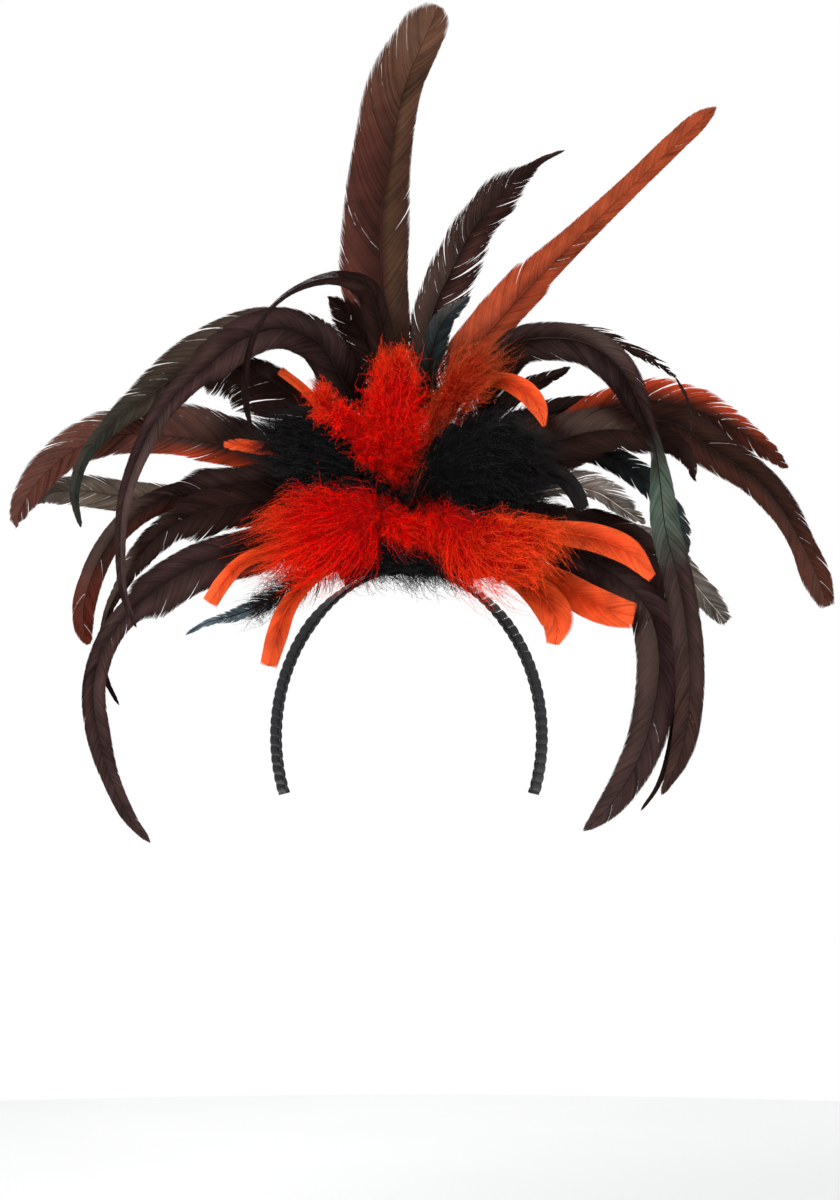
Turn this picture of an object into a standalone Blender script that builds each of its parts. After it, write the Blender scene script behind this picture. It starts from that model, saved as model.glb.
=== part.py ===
"""Feather headband for stage wear.

A wound band goes over the head from ear to ear. A felt backing stands on its crown. Cock's tail
feathers, trimmed flat feathers and fluffy plumes are fixed to the two faces of the backing by
their quills, which lie on it like the sticks of a fan, and spread up, out and down from there.

Metres, +Z up, the wearer looks along -Y. The origin is the middle of the band's inner crown.
"""

import math
from collections import namedtuple

import bmesh
import bpy
import numpy as np
from mathutils import Vector

MM = 0.001
GAP = 0.3

# The wound band, a stretch of an upright ellipse
BAND_WIDTH = 11.0
BAND_THICKNESS = 2.6
BAND_HALF_SPAN = 74.7
BAND_RISE = 93.7
BAND_START = -20.0
BAND_STEP = 8.8
BAND_STEPS = 25
BAND_TILT = 32.0
BAND_FLAT_CROWN = 12.0
BAND_LEAN = 10.0

# The felt backing, a rounded plate whose lower edge follows the band
FELT_THICKNESS = 2.0
FELT_HALF_WIDTH = 36.0
FELT_TOP = 72.0
FELT_SHOULDER = 24.0
FELT_BAND_CLEARANCE = 0.9
FELT_ARC_STEPS = 14

# The fan of quills on each face of the backing
FAN_CENTRE_Z = 40.0
FAN_INNER = 24.0
FAN_OUTER = 44.0
QUILL_RADIUS = 1.3

# The fan opens towards the front and the back beyond the plumes
OPENING_FROM = 80.0
OPENING_RUN = 150.0
OPENING_GAIN = 0.6

# The blades of the feathers
BLADE_HALF_THICKNESS = 0.65
TIP_HALF_THICKNESS = 0.3
BLADE_CUP = 0.10
STATION_LENGTH = 17.0
FEWEST_STATIONS = 8
THINNING_STATIONS = 2.0
TIP_STATIONS = 3
SECTION_SIDES = 8
CURVE_STEPS = 24
SHARP_ANGLE = 50.0

# The plumes
STEM_RADIUS = 1.2
STEM_FRONT = 16.5
STEM_LEAN = 0.12
LOCK_LENGTH = 4.5
LOCK_SWEEP = 3.5
PLUME_STATIONS = 9

FRONT = -1
BACK = 1

Feather = namedtuple("Feather", "name slot face fan rows")
Plume = namedtuple("Plume", "name slot seat rows")

# Each row of a feather: x, z, y of the shaft in mm, then the vane's width on the left and on the
# right of the shaft as it goes out, and the roll of the vane about the shaft in degrees.
# "fan" is the direction of the quill on the backing, in degrees up from +X.
FEATHERS = [
    Feather("upright_brown_feather", "brown_feather", BACK, 97, [
        (-9, 110, 7, 4, 4, 0),
        (-12, 136, 9, 15, 13, 5),
        (-15, 163, 10, 24, 15, 8),
        (-16, 197, 10, 22, 17, 8),
        (-10, 236, 8, 22, 12, 6),
        (-1, 277, 4, 21, 10, 4),
        (9, 300, 1, 17, 8, 2),
        (16, 319, -2, 3, 3, 0),
    ]),
    Feather("upright_dark_feather", "dark_feather", BACK, 84, [
        (7, 112, 9, 5, 5, 0),
        (13, 146, 13, 11, 13, 0),
        (26, 175, 15, 12, 16, -6),
        (35, 193, 15, 9, 13, -8),
        (45, 206, 14, 7, 11, -8),
        (56, 218, 12, 4, 6, -5),
        (75, 232, 8, 2, 2, 0),
        (88, 238, 6, 0.6, 0.6, 0),
    ]),
    Feather("upright_rust_feather", "rust_feather", BACK, 70, [
        (29, 115, 13, 5, 4, 0),
        (48, 140, 19, 14, 8, 0),
        (66, 160, 21, 13, 8, 5),
        (96, 190, 22, 9, 6.5, 8),
        (129, 222, 20, 7, 5.5, 8),
        (152, 242, 18, 6, 4.5, 5),
        (167, 256, 16, 4.5, 3, 0),
        (172, 260, 15, 1, 1, 0),
    ]),
    Feather("green_small_feather", "green_feather", FRONT, 84, [
        (9, 98, -5, 4, 4, 0),
        (12, 120, -8, 7, 7, 0),
        (19, 140, -9, 7, 7, 0),
        (35, 155, -9, 0.8, 0.8, 0),
    ]),
    Feather("left_thin_arch_feather", "dark_feather", FRONT, 98, [
        (-12, 112, -8, 4, 4, 0),
        (-17, 142, -14, 6, 6, 10),
        (-23, 158, -18, 6, 6, 20),
        (-35, 163, -21, 6, 6, 35),
        (-58, 159, -29, 4, 4, 50),
        (-73, 149, -34, 3.5, 3.5, 60),
        (-84, 134, -38, 3.5, 3.5, 60),
        (-90, 111, -40, 3.8, 3.8, 55),
        (-90, 94, -40, 3.5, 3.5, 50),
        (-86, 76, -39, 0.6, 0.6, 45),
    ]),
    Feather("left_short_dark_feather", "dark_feather", BACK, 109, [
        (-17, 102, 4.5, 6, 6, 0),
        (-23, 125, 4.5, 11, 11, 0),
        (-34, 143, 4.5, 10, 10, 0),
        (-46, 156, 4.5, 0.8, 0.8, 0),
    ]),
    Feather("left_ragged_feather", "dark_feather", BACK, 121, [
        (-27, 100, 12, 5, 5, 0),
        (-35, 117, 16, 8.5, 8.5, 0),
        (-44, 133, 16, 8, 8, 0),
        (-53, 145, 16, 0.8, 0.8, 0),
    ]),
    Feather("left_olive_arch_feather", "olive_feather", BACK, 133, [
        (-39, 103, 7, 4, 4, 0),
        (-55, 130, 10, 10, 10, -4),
        (-78, 138, 12, 11, 11, -8),
        (-99, 132, 13, 11, 10, -8),
        (-119, 120, 13, 10, 10, -8),
        (-145, 101, 12, 9, 8, -8),
        (-169, 83, 10, 6, 5, -4),
        (-182, 66, 8, 3.5, 3.5, 0),
        (-188, 46, 6, 3, 3, 0),
        (-184, 25, 4, 0.6, 0.6, 0),
    ]),
    Feather("left_long_arch_feather", "plum_feather", FRONT, 112, [
        (-34, 102, -8, 4, 4, 0),
        (-50, 128, -14, 10, 10, 0),
        (-70, 136, -19, 11, 11, 5),
        (-95, 128, -25, 10, 10, 10),
        (-113, 113, -30, 8, 8, 15),
        (-133, 93, -35, 7, 7, 20),
        (-147, 67, -39, 6, 6, 25),
        (-156, 40, -42, 4.5, 4.5, 25),
        (-158, 10, -43, 3, 3, 20),
        (-156, -12, -43, 2, 2, 10),
        (-149, -31, -42, 0.6, 0.6, 0),
    ]),
    Feather("left_glint_feather", "dark_feather", FRONT, 126, [
        (-48, 85, -5, 4, 4, 0),
        (-67, 101, -6, 8, 8, 0),
        (-88, 112, -7, 8.5, 8.5, 0),
        (-106, 112, -7, 6, 6, 0),
        (-116, 105, -7, 0.8, 0.8, 0),
    ]),
    Feather("left_red_brown_feather", "red_brown_feather", BACK, 160, [
        (-64, 57, 9, 4, 4, 0),
        (-88, 69, 14, 8, 8, 0),
        (-112, 74, 17, 10, 11, 5),
        (-139, 78, 19, 11, 12, 8),
        (-165, 78, 19, 11, 14, 8),
        (-187, 71, 18, 10, 14, 8),
        (-203, 59, 16, 8, 12, 5),
        (-214, 46, 14, 8, 9, 0),
        (-220, 34, 12, 5, 6, 0),
        (-222, 25, 11, 1.5, 1.5, 0),
    ]),
    Feather("left_olive_feather", "olive_feather", BACK, 180, [
        (-66, 36, 12, 3, 3, 0),
        (-97, 35, 21, 7, 7, 0),
        (-130, 40, 25, 9.5, 9.5, 0),
        (-164, 44, 27, 9.5, 9.5, 0),
        (-190, 47, 27, 9, 9, 0),
        (-207, 44, 26, 5, 6, 0),
        (-212, 39, 25, 0.8, 0.8, 0),
    ]),
    Feather("left_paddle_feather", "red_brown_feather", FRONT, 162, [
        (-66, 51, -5, 4, 4, 0),
        (-95, 47, -7, 7, 7, 0),
        (-131, 43, -9, 7, 7, 0),
        (-150, 34, -10, 7, 7, 0),
        (-166, 18, -11, 6.5, 6.5, 0),
        (-176, -1, -12, 6.5, 6.5, 0),
        (-181, -22, -12, 6, 6, 0),
        (-179, -39, -12, 1, 1, 0),
    ]),
    Feather("left_fan_feather", "dark_feather", FRONT, 174, [
        (-66, 41, -9, 4, 4, 0),
        (-85, 40, -12, 9, 9, 0),
        (-109, 35, -15, 11, 11, 0),
        (-134, 24, -17, 9, 9, 0),
        (-150, 8, -19, 7, 7, 0),
        (-160, -8, -20, 4, 4, 0),
        (-167, -23, -21, 2.2, 2.2, 0),
        (-170, -40, -21, 1.8, 1.8, 0),
        (-167, -60, -21, 1.4, 1.4, 0),
        (-160, -74, -21, 0.6, 0.6, 0),
    ]),
    Feather("left_long_drop_feather", "plum_feather", FRONT, 188, [
        (-60, 27, -6, 3, 3, 0),
        (-82, 15, -14, 6, 6, 0),
        (-114, 6, -22, 9, 9, 5),
        (-143, -12, -28, 8, 8, 10),
        (-164, -34, -32, 7, 7, 15),
        (-173, -62, -34, 7, 7, 15),
        (-170, -91, -34, 7, 7, 10),
        (-163, -115, -32, 5, 5, 5),
        (-152, -137, -29, 3.5, 3.5, 0),
        (-142, -149, -27, 0.6, 0.6, 0),
    ]),
    Feather("left_small_black_feather", "green_feather", FRONT, 216, [
        (-52, 3, -6, 2, 2, 0),
        (-78, -15, -11, 5, 5, 0),
        (-95, -23, -13, 4.5, 4.5, 0),
        (-113, -28, -13, 2, 2, 0),
        (-125, -35, -13, 0.6, 0.6, 0),
    ]),
    Feather("right_arch_feather", "plum_feather", FRONT, 47, [
        (40, 87, -7, 4, 4, 0),
        (47, 112, -13, 8, 8, 5),
        (60, 127, -19, 9, 9, 10),
        (80, 130, -25, 9, 9, 10),
        (102, 125, -30, 9, 9, 15),
        (116, 113, -33, 9, 9, 25),
        (127, 93, -35, 8.5, 8.5, 50),
        (135, 72, -36, 8, 8, 70),
        (138, 52, -37, 8, 8, 45),
        (141, 25, -38, 8.5, 8.5, 15),
        (148, -4, -39, 8.5, 8.5, 5),
        (153, -35, -39, 8.5, 8.5, 0),
        (154, -70, -37, 8, 8, 0),
        (150, -98, -33, 6.5, 6.5, 0),
        (139, -123, -29, 1, 1, 0),
    ]),
    Feather("right_thread_feather", "dark_feather", FRONT, 58, [
        (34, 97, -4, 1.6, 1.6, 0),
        (60, 124, -9, 2, 2, 0),
        (85, 134, -13, 2, 2, 0),
        (107, 130, -16, 2, 2, 0),
        (131, 119, -18, 1.8, 1.8, 0),
        (147, 109, -19, 1.6, 1.6, 0),
        (156, 88, -19, 1.4, 1.4, 0),
        (155, 66, -19, 0.6, 0.6, 0),
    ]),
    Feather("right_red_feather", "rust_feather", BACK, 36, [
        (48, 66, 12, 3, 3, 0),
        (85, 79, 26, 9, 8, 0),
        (112, 90, 31, 15, 11, 0),
        (140, 96, 33, 16, 12, 5),
        (169, 91, 34, 13, 11, 5),
        (191, 80, 34, 8, 8, 0),
        (207, 68, 33, 5, 5, 0),
        (217, 59, 32, 0.8, 0.8, 0),
    ]),
    Feather("right_long_brown_feather", "red_brown_feather", BACK, 24, [
        (50, 57, 6, 3, 3, 0),
        (85, 69, 11, 9, 9, 0),
        (118, 84, 14, 12, 11, -5),
        (148, 85, 16, 12, 12, -8),
        (173, 69, 17, 12, 12, -8),
        (195, 54, 17, 11, 10, -8),
        (210, 37, 16, 10, 8, -5),
        (222, 16, 14, 8, 7, 0),
        (231, -4, 12, 6, 5, 0),
        (235, -20, 10, 0.8, 0.8, 0),
    ]),
    Feather("right_brown_feather", "red_brown_feather", FRONT, 34, [
        (52, 66, -4, 4, 4, 0),
        (73, 71, -6, 9, 9, 0),
        (93, 77, -7, 12, 12, 0),
        (113, 80, -8, 11, 11, 0),
        (132, 77, -8, 10, 10, 0),
        (149, 71, -8, 7, 7, 0),
        (157, 61, -8, 4, 4, 0),
        (160, 50, -8, 0.8, 0.8, 0),
    ]),
    Feather("right_dark_top_feather", "dark_feather", BACK, 47, [
        (43, 74, 14, 3, 3, 0),
        (62, 84, 30, 6, 6, 0),
        (79, 92, 38, 7, 7, 0),
        (101, 95, 42, 7, 7, 0),
        (129, 90, 44, 6, 6, 0),
        (157, 80, 45, 0.8, 0.8, 0),
    ]),
    Feather("right_spike_feather", "dark_feather", BACK, 58, [
        (37, 82, 12, 3, 3, 0),
        (52, 95, 20, 5, 5, 0),
        (68, 106, 24, 5.5, 5.5, 0),
        (82, 112, 25, 3.5, 3.5, 0),
        (92, 117, 25, 0.8, 0.8, 0),
    ]),
    Feather("right_gray_feather", "gray_feather", BACK, 0, [
        (54, 42, 4, 3, 3, 0),
        (76, 46, 5, 8, 4, 0),
        (92, 48, 5, 12, 5, 0),
        (106, 45, 5, 12, 5, 0),
        (120, 36, 5, 9, 5, 0),
        (134, 27, 5, 0.8, 0.8, 0),
    ]),
    Feather("right_ragged_feather", "green_feather", BACK, 12, [
        (52, 48, 9, 3, 3, 0),
        (76, 59, 19, 5, 5, 0),
        (101, 70, 22, 8, 8, 0),
        (120, 62, 23, 8, 8, 0),
        (138, 49, 23, 8, 8, 0),
        (149, 34, 22, 7, 7, 0),
        (155, 21, 21, 5, 5, 0),
        (157, 8, 20, 0.8, 0.8, 0),
    ]),
    Feather("right_gray_tip_feather", "gray_feather", BACK, -24, [
        (50, 21, 7, 2, 2, 0),
        (90, 22, 22, 3, 3, 0),
        (125, 24, 28, 5, 5, 0),
        (146, 16, 30, 6, 6, 0),
        (160, -3, 30, 6.5, 6.5, 0),
        (174, -20, 29, 5, 5, 0),
        (181, -26, 28, 0.8, 0.8, 0),
    ]),
    Feather("right_dark_feather", "dark_feather", BACK, -12, [
        (52, 32, 5, 3, 3, 0),
        (80, 31, 11, 6, 6, 0),
        (107, 28, 15, 8, 8, 0),
        (129, 18, 17, 8, 8, 0),
        (143, 1, 17, 7, 7, 0),
        (150, -14, 16, 4, 4, 0),
        (152, -22, 15, 0.8, 0.8, 0),
    ]),
    Feather("right_inner_drop_feather", "plum_feather", FRONT, -18, [
        (56, 23, -6, 4, 4, 0),
        (82, 16, -12, 6, 6, 0),
        (101, 8, -18, 7, 7, 0),
        (118, -4, -24, 10, 10, 0),
        (132, -20, -28, 12, 12, 0),
        (138, -45, -31, 13, 13, 0),
        (136, -70, -32, 12, 12, 0),
        (130, -94, -31, 11, 11, 0),
        (119, -117, -28, 9, 9, 0),
        (106, -134, -25, 5.5, 5.5, 0),
        (96, -143, -23, 0.8, 0.8, 0),
    ]),
    Feather("right_thin_drop_feather", "dark_feather", FRONT, 6, [
        (56, 39, -4, 2, 2, 0),
        (85, 29, -7, 3, 3, 0),
        (112, 12, -12, 3, 3, 0),
        (132, -10, -18, 3, 3, 0),
        (144, -38, -22, 2.5, 2.5, 0),
        (147, -69, -24, 2, 2, 0),
        (144, -98, -24, 1.8, 1.8, 0),
        (137, -119, -22, 1.2, 1.2, 0),
        (128, -132, -21, 0.6, 0.6, 0),
    ]),
    Feather("right_black_flat", "black_flat", FRONT, 20, [
        (54, 50, -5, 3, 3, 0),
        (70, 52, -12, 5, 5, 0),
        (84, 54, -15, 5, 5, 0),
        (92, 46, -16, 5, 5, 0),
        (97, 35, -16, 4, 4, 0),
    ]),
    Feather("orange_flat_top", "orange_flat", FRONT, 70, [
        (27, 98, -9, 2, 2, 0),
        (42, 106, -19, 3, 3, 0),
        (54, 106, -26, 5, 5, 0),
        (65, 100, -29, 6, 6, 0),
        (72, 91, -29, 5, 5, 0),
        (75, 81, -28, 1, 1, 0),
    ]),
    Feather("orange_flat_upper_right", "orange_flat", FRONT, -6, [
        (54, 32, -7, 3, 3, 0),
        (72, 26, -16, 4, 4, 0),
        (88, 22, -24, 7, 7, 0),
        (104, 19, -30, 8, 8, 0),
        (120, 12, -34, 8, 8, 0),
        (134, 2, -36, 7.5, 7.5, 0),
    ]),
    Feather("orange_flat_right", "orange_flat", FRONT, -30, [
        (51, 12, -5, 3, 3, 0),
        (68, 3, -12, 5, 5, 0),
        (84, -6, -20, 8, 8, 0),
        (98, -15, -27, 9.5, 9.5, 0),
        (112, -21, -33, 9, 9, 0),
        (124, -24, -37, 7, 7, 0),
    ]),
    Feather("orange_flat_lower_right", "orange_flat", FRONT, -42, [
        (43, 5, -6, 3, 3, 0),
        (56, -1, -16, 5, 5, 0),
        (68, -8, -26, 8, 8, 0),
        (77, -17, -31, 9.5, 9.5, 0),
        (82, -29, -32, 9.5, 9.5, 0),
        (82, -42, -31, 7.3, 7.3, 0),
    ]),
    Feather("orange_flat_left", "orange_flat", FRONT, 202, [
        (-60, 17, -9, 3, 3, 0),
        (-78, 12, -20, 3.5, 3.5, 0),
        (-92, 6, -29, 4, 4, 0),
        (-103, -6, -32, 4.5, 4.5, 0),
        (-110, -17, -32, 4.5, 4.5, 0),
    ]),
    Feather("orange_flat_lower_left", "orange_flat", FRONT, 230, [
        (-44, 3, -6, 3, 3, 0),
        (-59, -8, -13, 4, 4, 0),
        (-68, -20, -18, 5.3, 5.3, 0),
        (-73, -34, -20, 6, 6, 0),
        (-78, -52, -20, 4.8, 4.8, 0),
    ]),
    Feather("orange_flat_small_left", "orange_flat", FRONT, 150, [
        (-58, 67, -4, 3, 3, 0),
        (-75, 69, -9, 4, 4, 0),
        (-92, 71, -11, 4, 4, 0),
        (-104, 72, -11, 2.5, 2.5, 0),
    ]),
    Feather("orange_flat_small_top", "orange_flat", FRONT, 138, [
        (-42, 80, -6, 2, 2, 0),
        (-56, 100, -12, 2.5, 2.5, 0),
        (-72, 113, -12, 2.5, 2.5, 0),
    ]),
]

# Each row of a plume: x, z, y of its middle in mm, then its half width across the front and its
# half depth. "seat" is where its stem stands on the backing, as x and z.
PLUMES = [
    Plume("red_top_tuft", "red_fluff", (-3, 52), [
        (-4, 66, -31, 10, 9),
        (-6, 84, -34, 15, 12),
        (-7, 104, -34, 14, 12),
        (-6, 127, -29, 3, 3),
    ]),
    Plume("red_arm_tuft", "red_fluff", (-10, 50), [
        (-26, 72, -38, 2, 2),
        (-36, 88, -48, 6, 4),
        (-46, 98, -49, 6, 4),
        (-57, 107, -47, 2, 2),
    ]),
    Plume("orange_top_tuft", "orange_fluff", (4, 50), [
        (14, 79, -20, 3, 3),
        (23, 94, -25, 6, 5),
        (31, 108, -34, 10, 7),
        (50, 124, -37, 4, 4),
    ]),
    Plume("black_left_tuft", "black_fluff", (-12, 42), [
        (-28, 62, -22, 3, 3),
        (-42, 71, -29, 12, 7),
        (-60, 76, -30, 13, 8),
        (-82, 80, -28, 4, 4),
    ]),
    Plume("black_right_tuft", "black_fluff", (12, 44), [
        (20, 56, -26, 9, 7),
        (36, 66, -34, 23, 13),
        (55, 68, -34, 24, 14),
        (76, 62, -30, 6, 5),
    ]),
    Plume("red_left_tuft", "red_fluff", (-11, 33), [
        (-24, 31, -26, 9, 6),
        (-38, 28, -35, 21, 13),
        (-56, 26, -35, 21, 13),
        (-78, 20, -31, 6, 5),
    ]),
    Plume("red_centre_tuft", "red_fluff", (0, 28), [
        (4, 22, -23, 4, 3),
        (14, 19, -25, 8, 5),
        (28, 17, -26, 8, 5),
        (40, 13, -26, 3, 3),
    ]),
    Plume("red_right_tuft", "red_fluff", (11, 37), [
        (14, 37, -34, 1.5, 1.5),
        (34, 28, -47, 4, 4),
        (54, 18, -53, 15, 12),
        (74, 10, -54, 18, 12),
        (100, -6, -52, 5, 5),
    ]),
    Plume("black_bottom_tuft", "black_fluff", (-4, 26), [
        (-8, 11, -22, 3, 3),
        (-2, 4, -25, 7, 5),
        (12, 0, -26, 8, 5),
        (34, -6, -26, 2, 2),
    ]),
]

# Base colour as red, green, blue, then roughness, for each material
FINISHES = {
    "band_ribbon": (0.010, 0.010, 0.012, 0.30),
    "black_felt": (0.012, 0.012, 0.013, 0.95),
    "brown_feather": (0.110, 0.035, 0.022, 0.45),
    "dark_feather": (0.022, 0.010, 0.010, 0.35),
    "plum_feather": (0.030, 0.014, 0.014, 0.35),
    "rust_feather": (0.330, 0.060, 0.022, 0.50),
    "olive_feather": (0.050, 0.036, 0.022, 0.45),
    "green_feather": (0.016, 0.024, 0.022, 0.30),
    "red_brown_feather": (0.080, 0.022, 0.015, 0.45),
    "gray_feather": (0.090, 0.075, 0.060, 0.50),
    "black_flat": (0.012, 0.012, 0.014, 0.40),
    "orange_flat": (0.800, 0.070, 0.012, 0.50),
    "red_fluff": (0.700, 0.004, 0.002, 0.90),
    "orange_fluff": (0.500, 0.060, 0.010, 0.90),
    "black_fluff": (0.010, 0.010, 0.011, 0.90),
}


def clear_scene():
    """Remove whatever objects the scene holds."""
    for obj in list(bpy.data.objects):
        bpy.data.objects.remove(obj)


def finish(slot):
    """The Principled material of one slot, made once."""
    found = bpy.data.materials.get(slot)
    if found:
        return found
    red, green, blue, roughness = FINISHES[slot]
    made = bpy.data.materials.new(slot)
    made.use_nodes = True
    shader = made.node_tree.nodes["Principled BSDF"]
    shader.inputs["Base Color"].default_value = (red, green, blue, 1.0)
    shader.inputs["Roughness"].default_value = roughness
    shader.inputs["Metallic"].default_value = 0.0
    return made


def add_object(name, bm, slot):
    """One sub-part from a closed mesh whose points are in millimetres."""
    bmesh.ops.recalc_face_normals(bm, faces=bm.faces)
    bmesh.ops.scale(bm, vec=(MM, MM, MM), verts=bm.verts)
    mesh = bpy.data.meshes.new(name)
    bm.to_mesh(mesh)
    bm.free()
    mesh.shade_smooth()
    mesh.set_sharp_from_angle(angle=math.radians(SHARP_ANGLE))
    mesh.materials.append(finish(slot))
    obj = bpy.data.objects.new(name, mesh)
    bpy.context.scene.collection.objects.link(obj)
    return obj


def extrude_rings(rings):
    """Extrude a section through its rings, closed at both ends. Returns the mesh and its sides."""
    bm = bmesh.new()
    first = [bm.verts.new(point) for point in rings[0]]
    face = bm.faces.new(first)
    sides = []
    for ring in rings[1:]:
        before = set(bm.faces)
        face = bmesh.ops.extrude_discrete_faces(bm, faces=[face])["faces"][0]
        for vert, point in zip(face.verts, ring):
            vert.co = point
        sides.append([side for side in bm.faces if side not in before and side is not face])
    bmesh.ops.holes_fill(bm, edges=bm.edges, sides=len(first))
    return bm, sides


def smooth_route(rows, stations):
    """A smooth curve through the rows of a table, read at even steps of its length."""
    table = np.array(rows, dtype=float)
    steps = np.linalg.norm(np.diff(table[:, :3], axis=0), axis=1)
    at = np.concatenate([[0.0], np.cumsum(steps)])
    slope = np.gradient(table, at, axis=0)
    dense = []
    for i, step in enumerate(steps):
        for part in np.linspace(0.0, 1.0, CURVE_STEPS, endpoint=False):
            square = part * part
            cube = square * part
            dense.append(
                (2 * cube - 3 * square + 1) * table[i]
                + (cube - 2 * square + part) * step * slope[i]
                + (3 * square - 2 * cube) * table[i + 1]
                + (cube - square) * step * slope[i + 1]
            )
    dense.append(table[-1])
    dense = np.array(dense)
    run = np.linalg.norm(np.diff(dense[:, :3], axis=0), axis=1)
    length = np.concatenate([[0.0], np.cumsum(run)])
    if stations is None:
        stations = max(FEWEST_STATIONS, round(length[-1] / STATION_LENGTH))
    even = np.linspace(0.0, length[-1], stations + 1)
    columns = [np.interp(even, length, dense[:, column]) for column in range(dense.shape[1])]
    return np.array(columns).T


def section_frame(route, i, roll):
    """The point, the left-hand side and the outward face of a section at station i."""
    before = route[max(i - 1, 0)]
    after = route[min(i + 1, len(route) - 1)]
    along = Vector((after[0] - before[0], after[2] - before[2], after[1] - before[1])).normalized()
    left = along.cross(Vector((0.0, 1.0, 0.0))).normalized()
    face = along.cross(left)
    point = Vector((route[i][0], route[i][2], route[i][1]))
    turned = left * math.cos(roll) + face * math.sin(roll)
    return point, turned, along.cross(turned)


def blade_ring(route, i, half_thickness):
    """A flat oval section, wider or narrower on each side of the shaft, cupped to the back."""
    left_width, right_width, roll = route[i][3:6]
    point, left, face = section_frame(route, i, math.radians(roll))
    ring = []
    for side in range(SECTION_SIDES):
        turn = 2.0 * math.pi * side / SECTION_SIDES
        across = math.cos(turn)
        width = max(left_width if across > 0 else right_width, TIP_HALF_THICKNESS)
        depth = math.sin(turn) * half_thickness - BLADE_CUP * across * across * width
        ring.append(point + left * across * width + face * depth)
    return ring


def build_feather(feather):
    """A quill that lies on the backing and runs on as the shaft of a thin, cupped vane."""
    fan = math.radians(feather.fan)
    depth = feather.face * (FELT_THICKNESS / 2 + GAP + QUILL_RADIUS)
    quill = []
    for reach in (FAN_INNER, FAN_OUTER):
        x = reach * math.cos(fan)
        z = FAN_CENTRE_Z + reach * math.sin(fan)
        quill.append((x, z, depth, QUILL_RADIUS, QUILL_RADIUS, 0))
    route = smooth_route(quill + feather.rows, None)
    route[:, 2] = feather.face * np.maximum(feather.face * route[:, 2], abs(depth))
    reach = np.hypot(route[:, 0], route[:, 1] - FAN_CENTRE_Z)
    route[:, 2] *= 1.0 + OPENING_GAIN * np.clip((reach - OPENING_FROM) / OPENING_RUN, 0.0, 1.0)
    quill_end = (FAN_OUTER - FAN_INNER) / STATION_LENGTH
    rings = []
    for i in range(len(route)):
        to_blade = min(max((i - quill_end) / THINNING_STATIONS, 0.0), 1.0)
        to_tip = max(i - (len(route) - 1) + TIP_STATIONS, 0) / TIP_STATIONS
        thick = QUILL_RADIUS + (BLADE_HALF_THICKNESS - QUILL_RADIUS) * to_blade
        thick += (TIP_HALF_THICKNESS - thick) * to_tip
        rings.append(blade_ring(route, i, thick))
    bm, _ = extrude_rings(rings)
    add_object(feather.name, bm, feather.slot)


def oval_ring(route, i):
    """An oval section of a plume."""
    half_width, half_depth = route[i][3:5]
    point, left, face = section_frame(route, i, 0.0)
    ring = []
    for side in range(SECTION_SIDES):
        turn = 2.0 * math.pi * side / SECTION_SIDES
        ring.append(point + left * math.cos(turn) * half_width + face * math.sin(turn) * half_depth)
    return ring


def build_plume(plume):
    """A stem that stands on the backing and swells to a head with pointed locks."""
    x, z = plume.seat
    first = plume.rows[0]
    lead_x = x + STEM_LEAN * (first[0] - x)
    lead_z = z + STEM_LEAN * (first[1] - z)
    stem = [
        (x, z, -(FELT_THICKNESS / 2 + 2 * GAP), STEM_RADIUS, STEM_RADIUS),
        (lead_x, lead_z, -STEM_FRONT, STEM_RADIUS, STEM_RADIUS),
    ]
    stem_route = smooth_route(stem + [plume.rows[0]], 3)
    head_route = smooth_route(plume.rows, PLUME_STATIONS)
    route = np.vstack([stem_route[:-1], head_route])
    rings = [oval_ring(route, i) for i in range(len(route))]
    bm, sides = extrude_rings(rings)
    head = [face for ring in sides[len(stem_route):] for face in ring]
    locks = bmesh.ops.poke(bm, faces=head, offset=LOCK_LENGTH)["verts"]
    tip = Vector((plume.rows[-1][0], plume.rows[-1][2], plume.rows[-1][1]))
    for lock in locks:
        lock.co += (tip - lock.co).normalized() * LOCK_SWEEP
    add_object(plume.name, bm, plume.slot)


def band_point(turn):
    """Middle of the band at an angle up from its right-hand side."""
    middle_z = -(BAND_RISE - BAND_THICKNESS / 2) * math.cos(math.radians(BAND_STEP / 2))
    x = BAND_HALF_SPAN * math.cos(turn)
    y = BAND_LEAN * (1.0 - math.sin(turn))
    z = middle_z + BAND_RISE * math.sin(turn)
    return Vector((x, y, z))


def build_band():
    """The band: a flat strip with eased edges, level over the crown and tilted on the arms."""
    half_width = BAND_WIDTH / 2
    half_thick = BAND_THICKNESS / 2
    section = [(1.0, 0.35), (0.8, 1.0), (-0.8, 1.0), (-1.0, 0.35)]
    section += [(-1.0, -0.35), (-0.8, -1.0), (0.8, -1.0), (1.0, -0.35)]
    rings = []
    for step in range(BAND_STEPS + 1):
        degrees = BAND_START + step * BAND_STEP
        turn = math.radians(degrees)
        along = Vector((-BAND_HALF_SPAN * math.sin(turn), 0.0, BAND_RISE * math.cos(turn)))
        outward = Vector((0.0, 1.0, 0.0)).cross(along).normalized()
        from_crown = max(abs(degrees - 90.0) - BAND_FLAT_CROWN, 0.0)
        tilt = math.radians(BAND_TILT * min(from_crown / 35.0, 1.0))
        rear = Vector((0.0, math.cos(tilt), 0.0)) + outward * math.sin(tilt)
        face = outward * math.cos(tilt) - Vector((0.0, math.sin(tilt), 0.0))
        middle = band_point(turn)
        rings.append([middle + rear * across * half_width + face * up * half_thick
                      for across, up in section])
    bm, _ = extrude_rings(rings)
    add_object("headband", bm, "band_ribbon")


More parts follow.
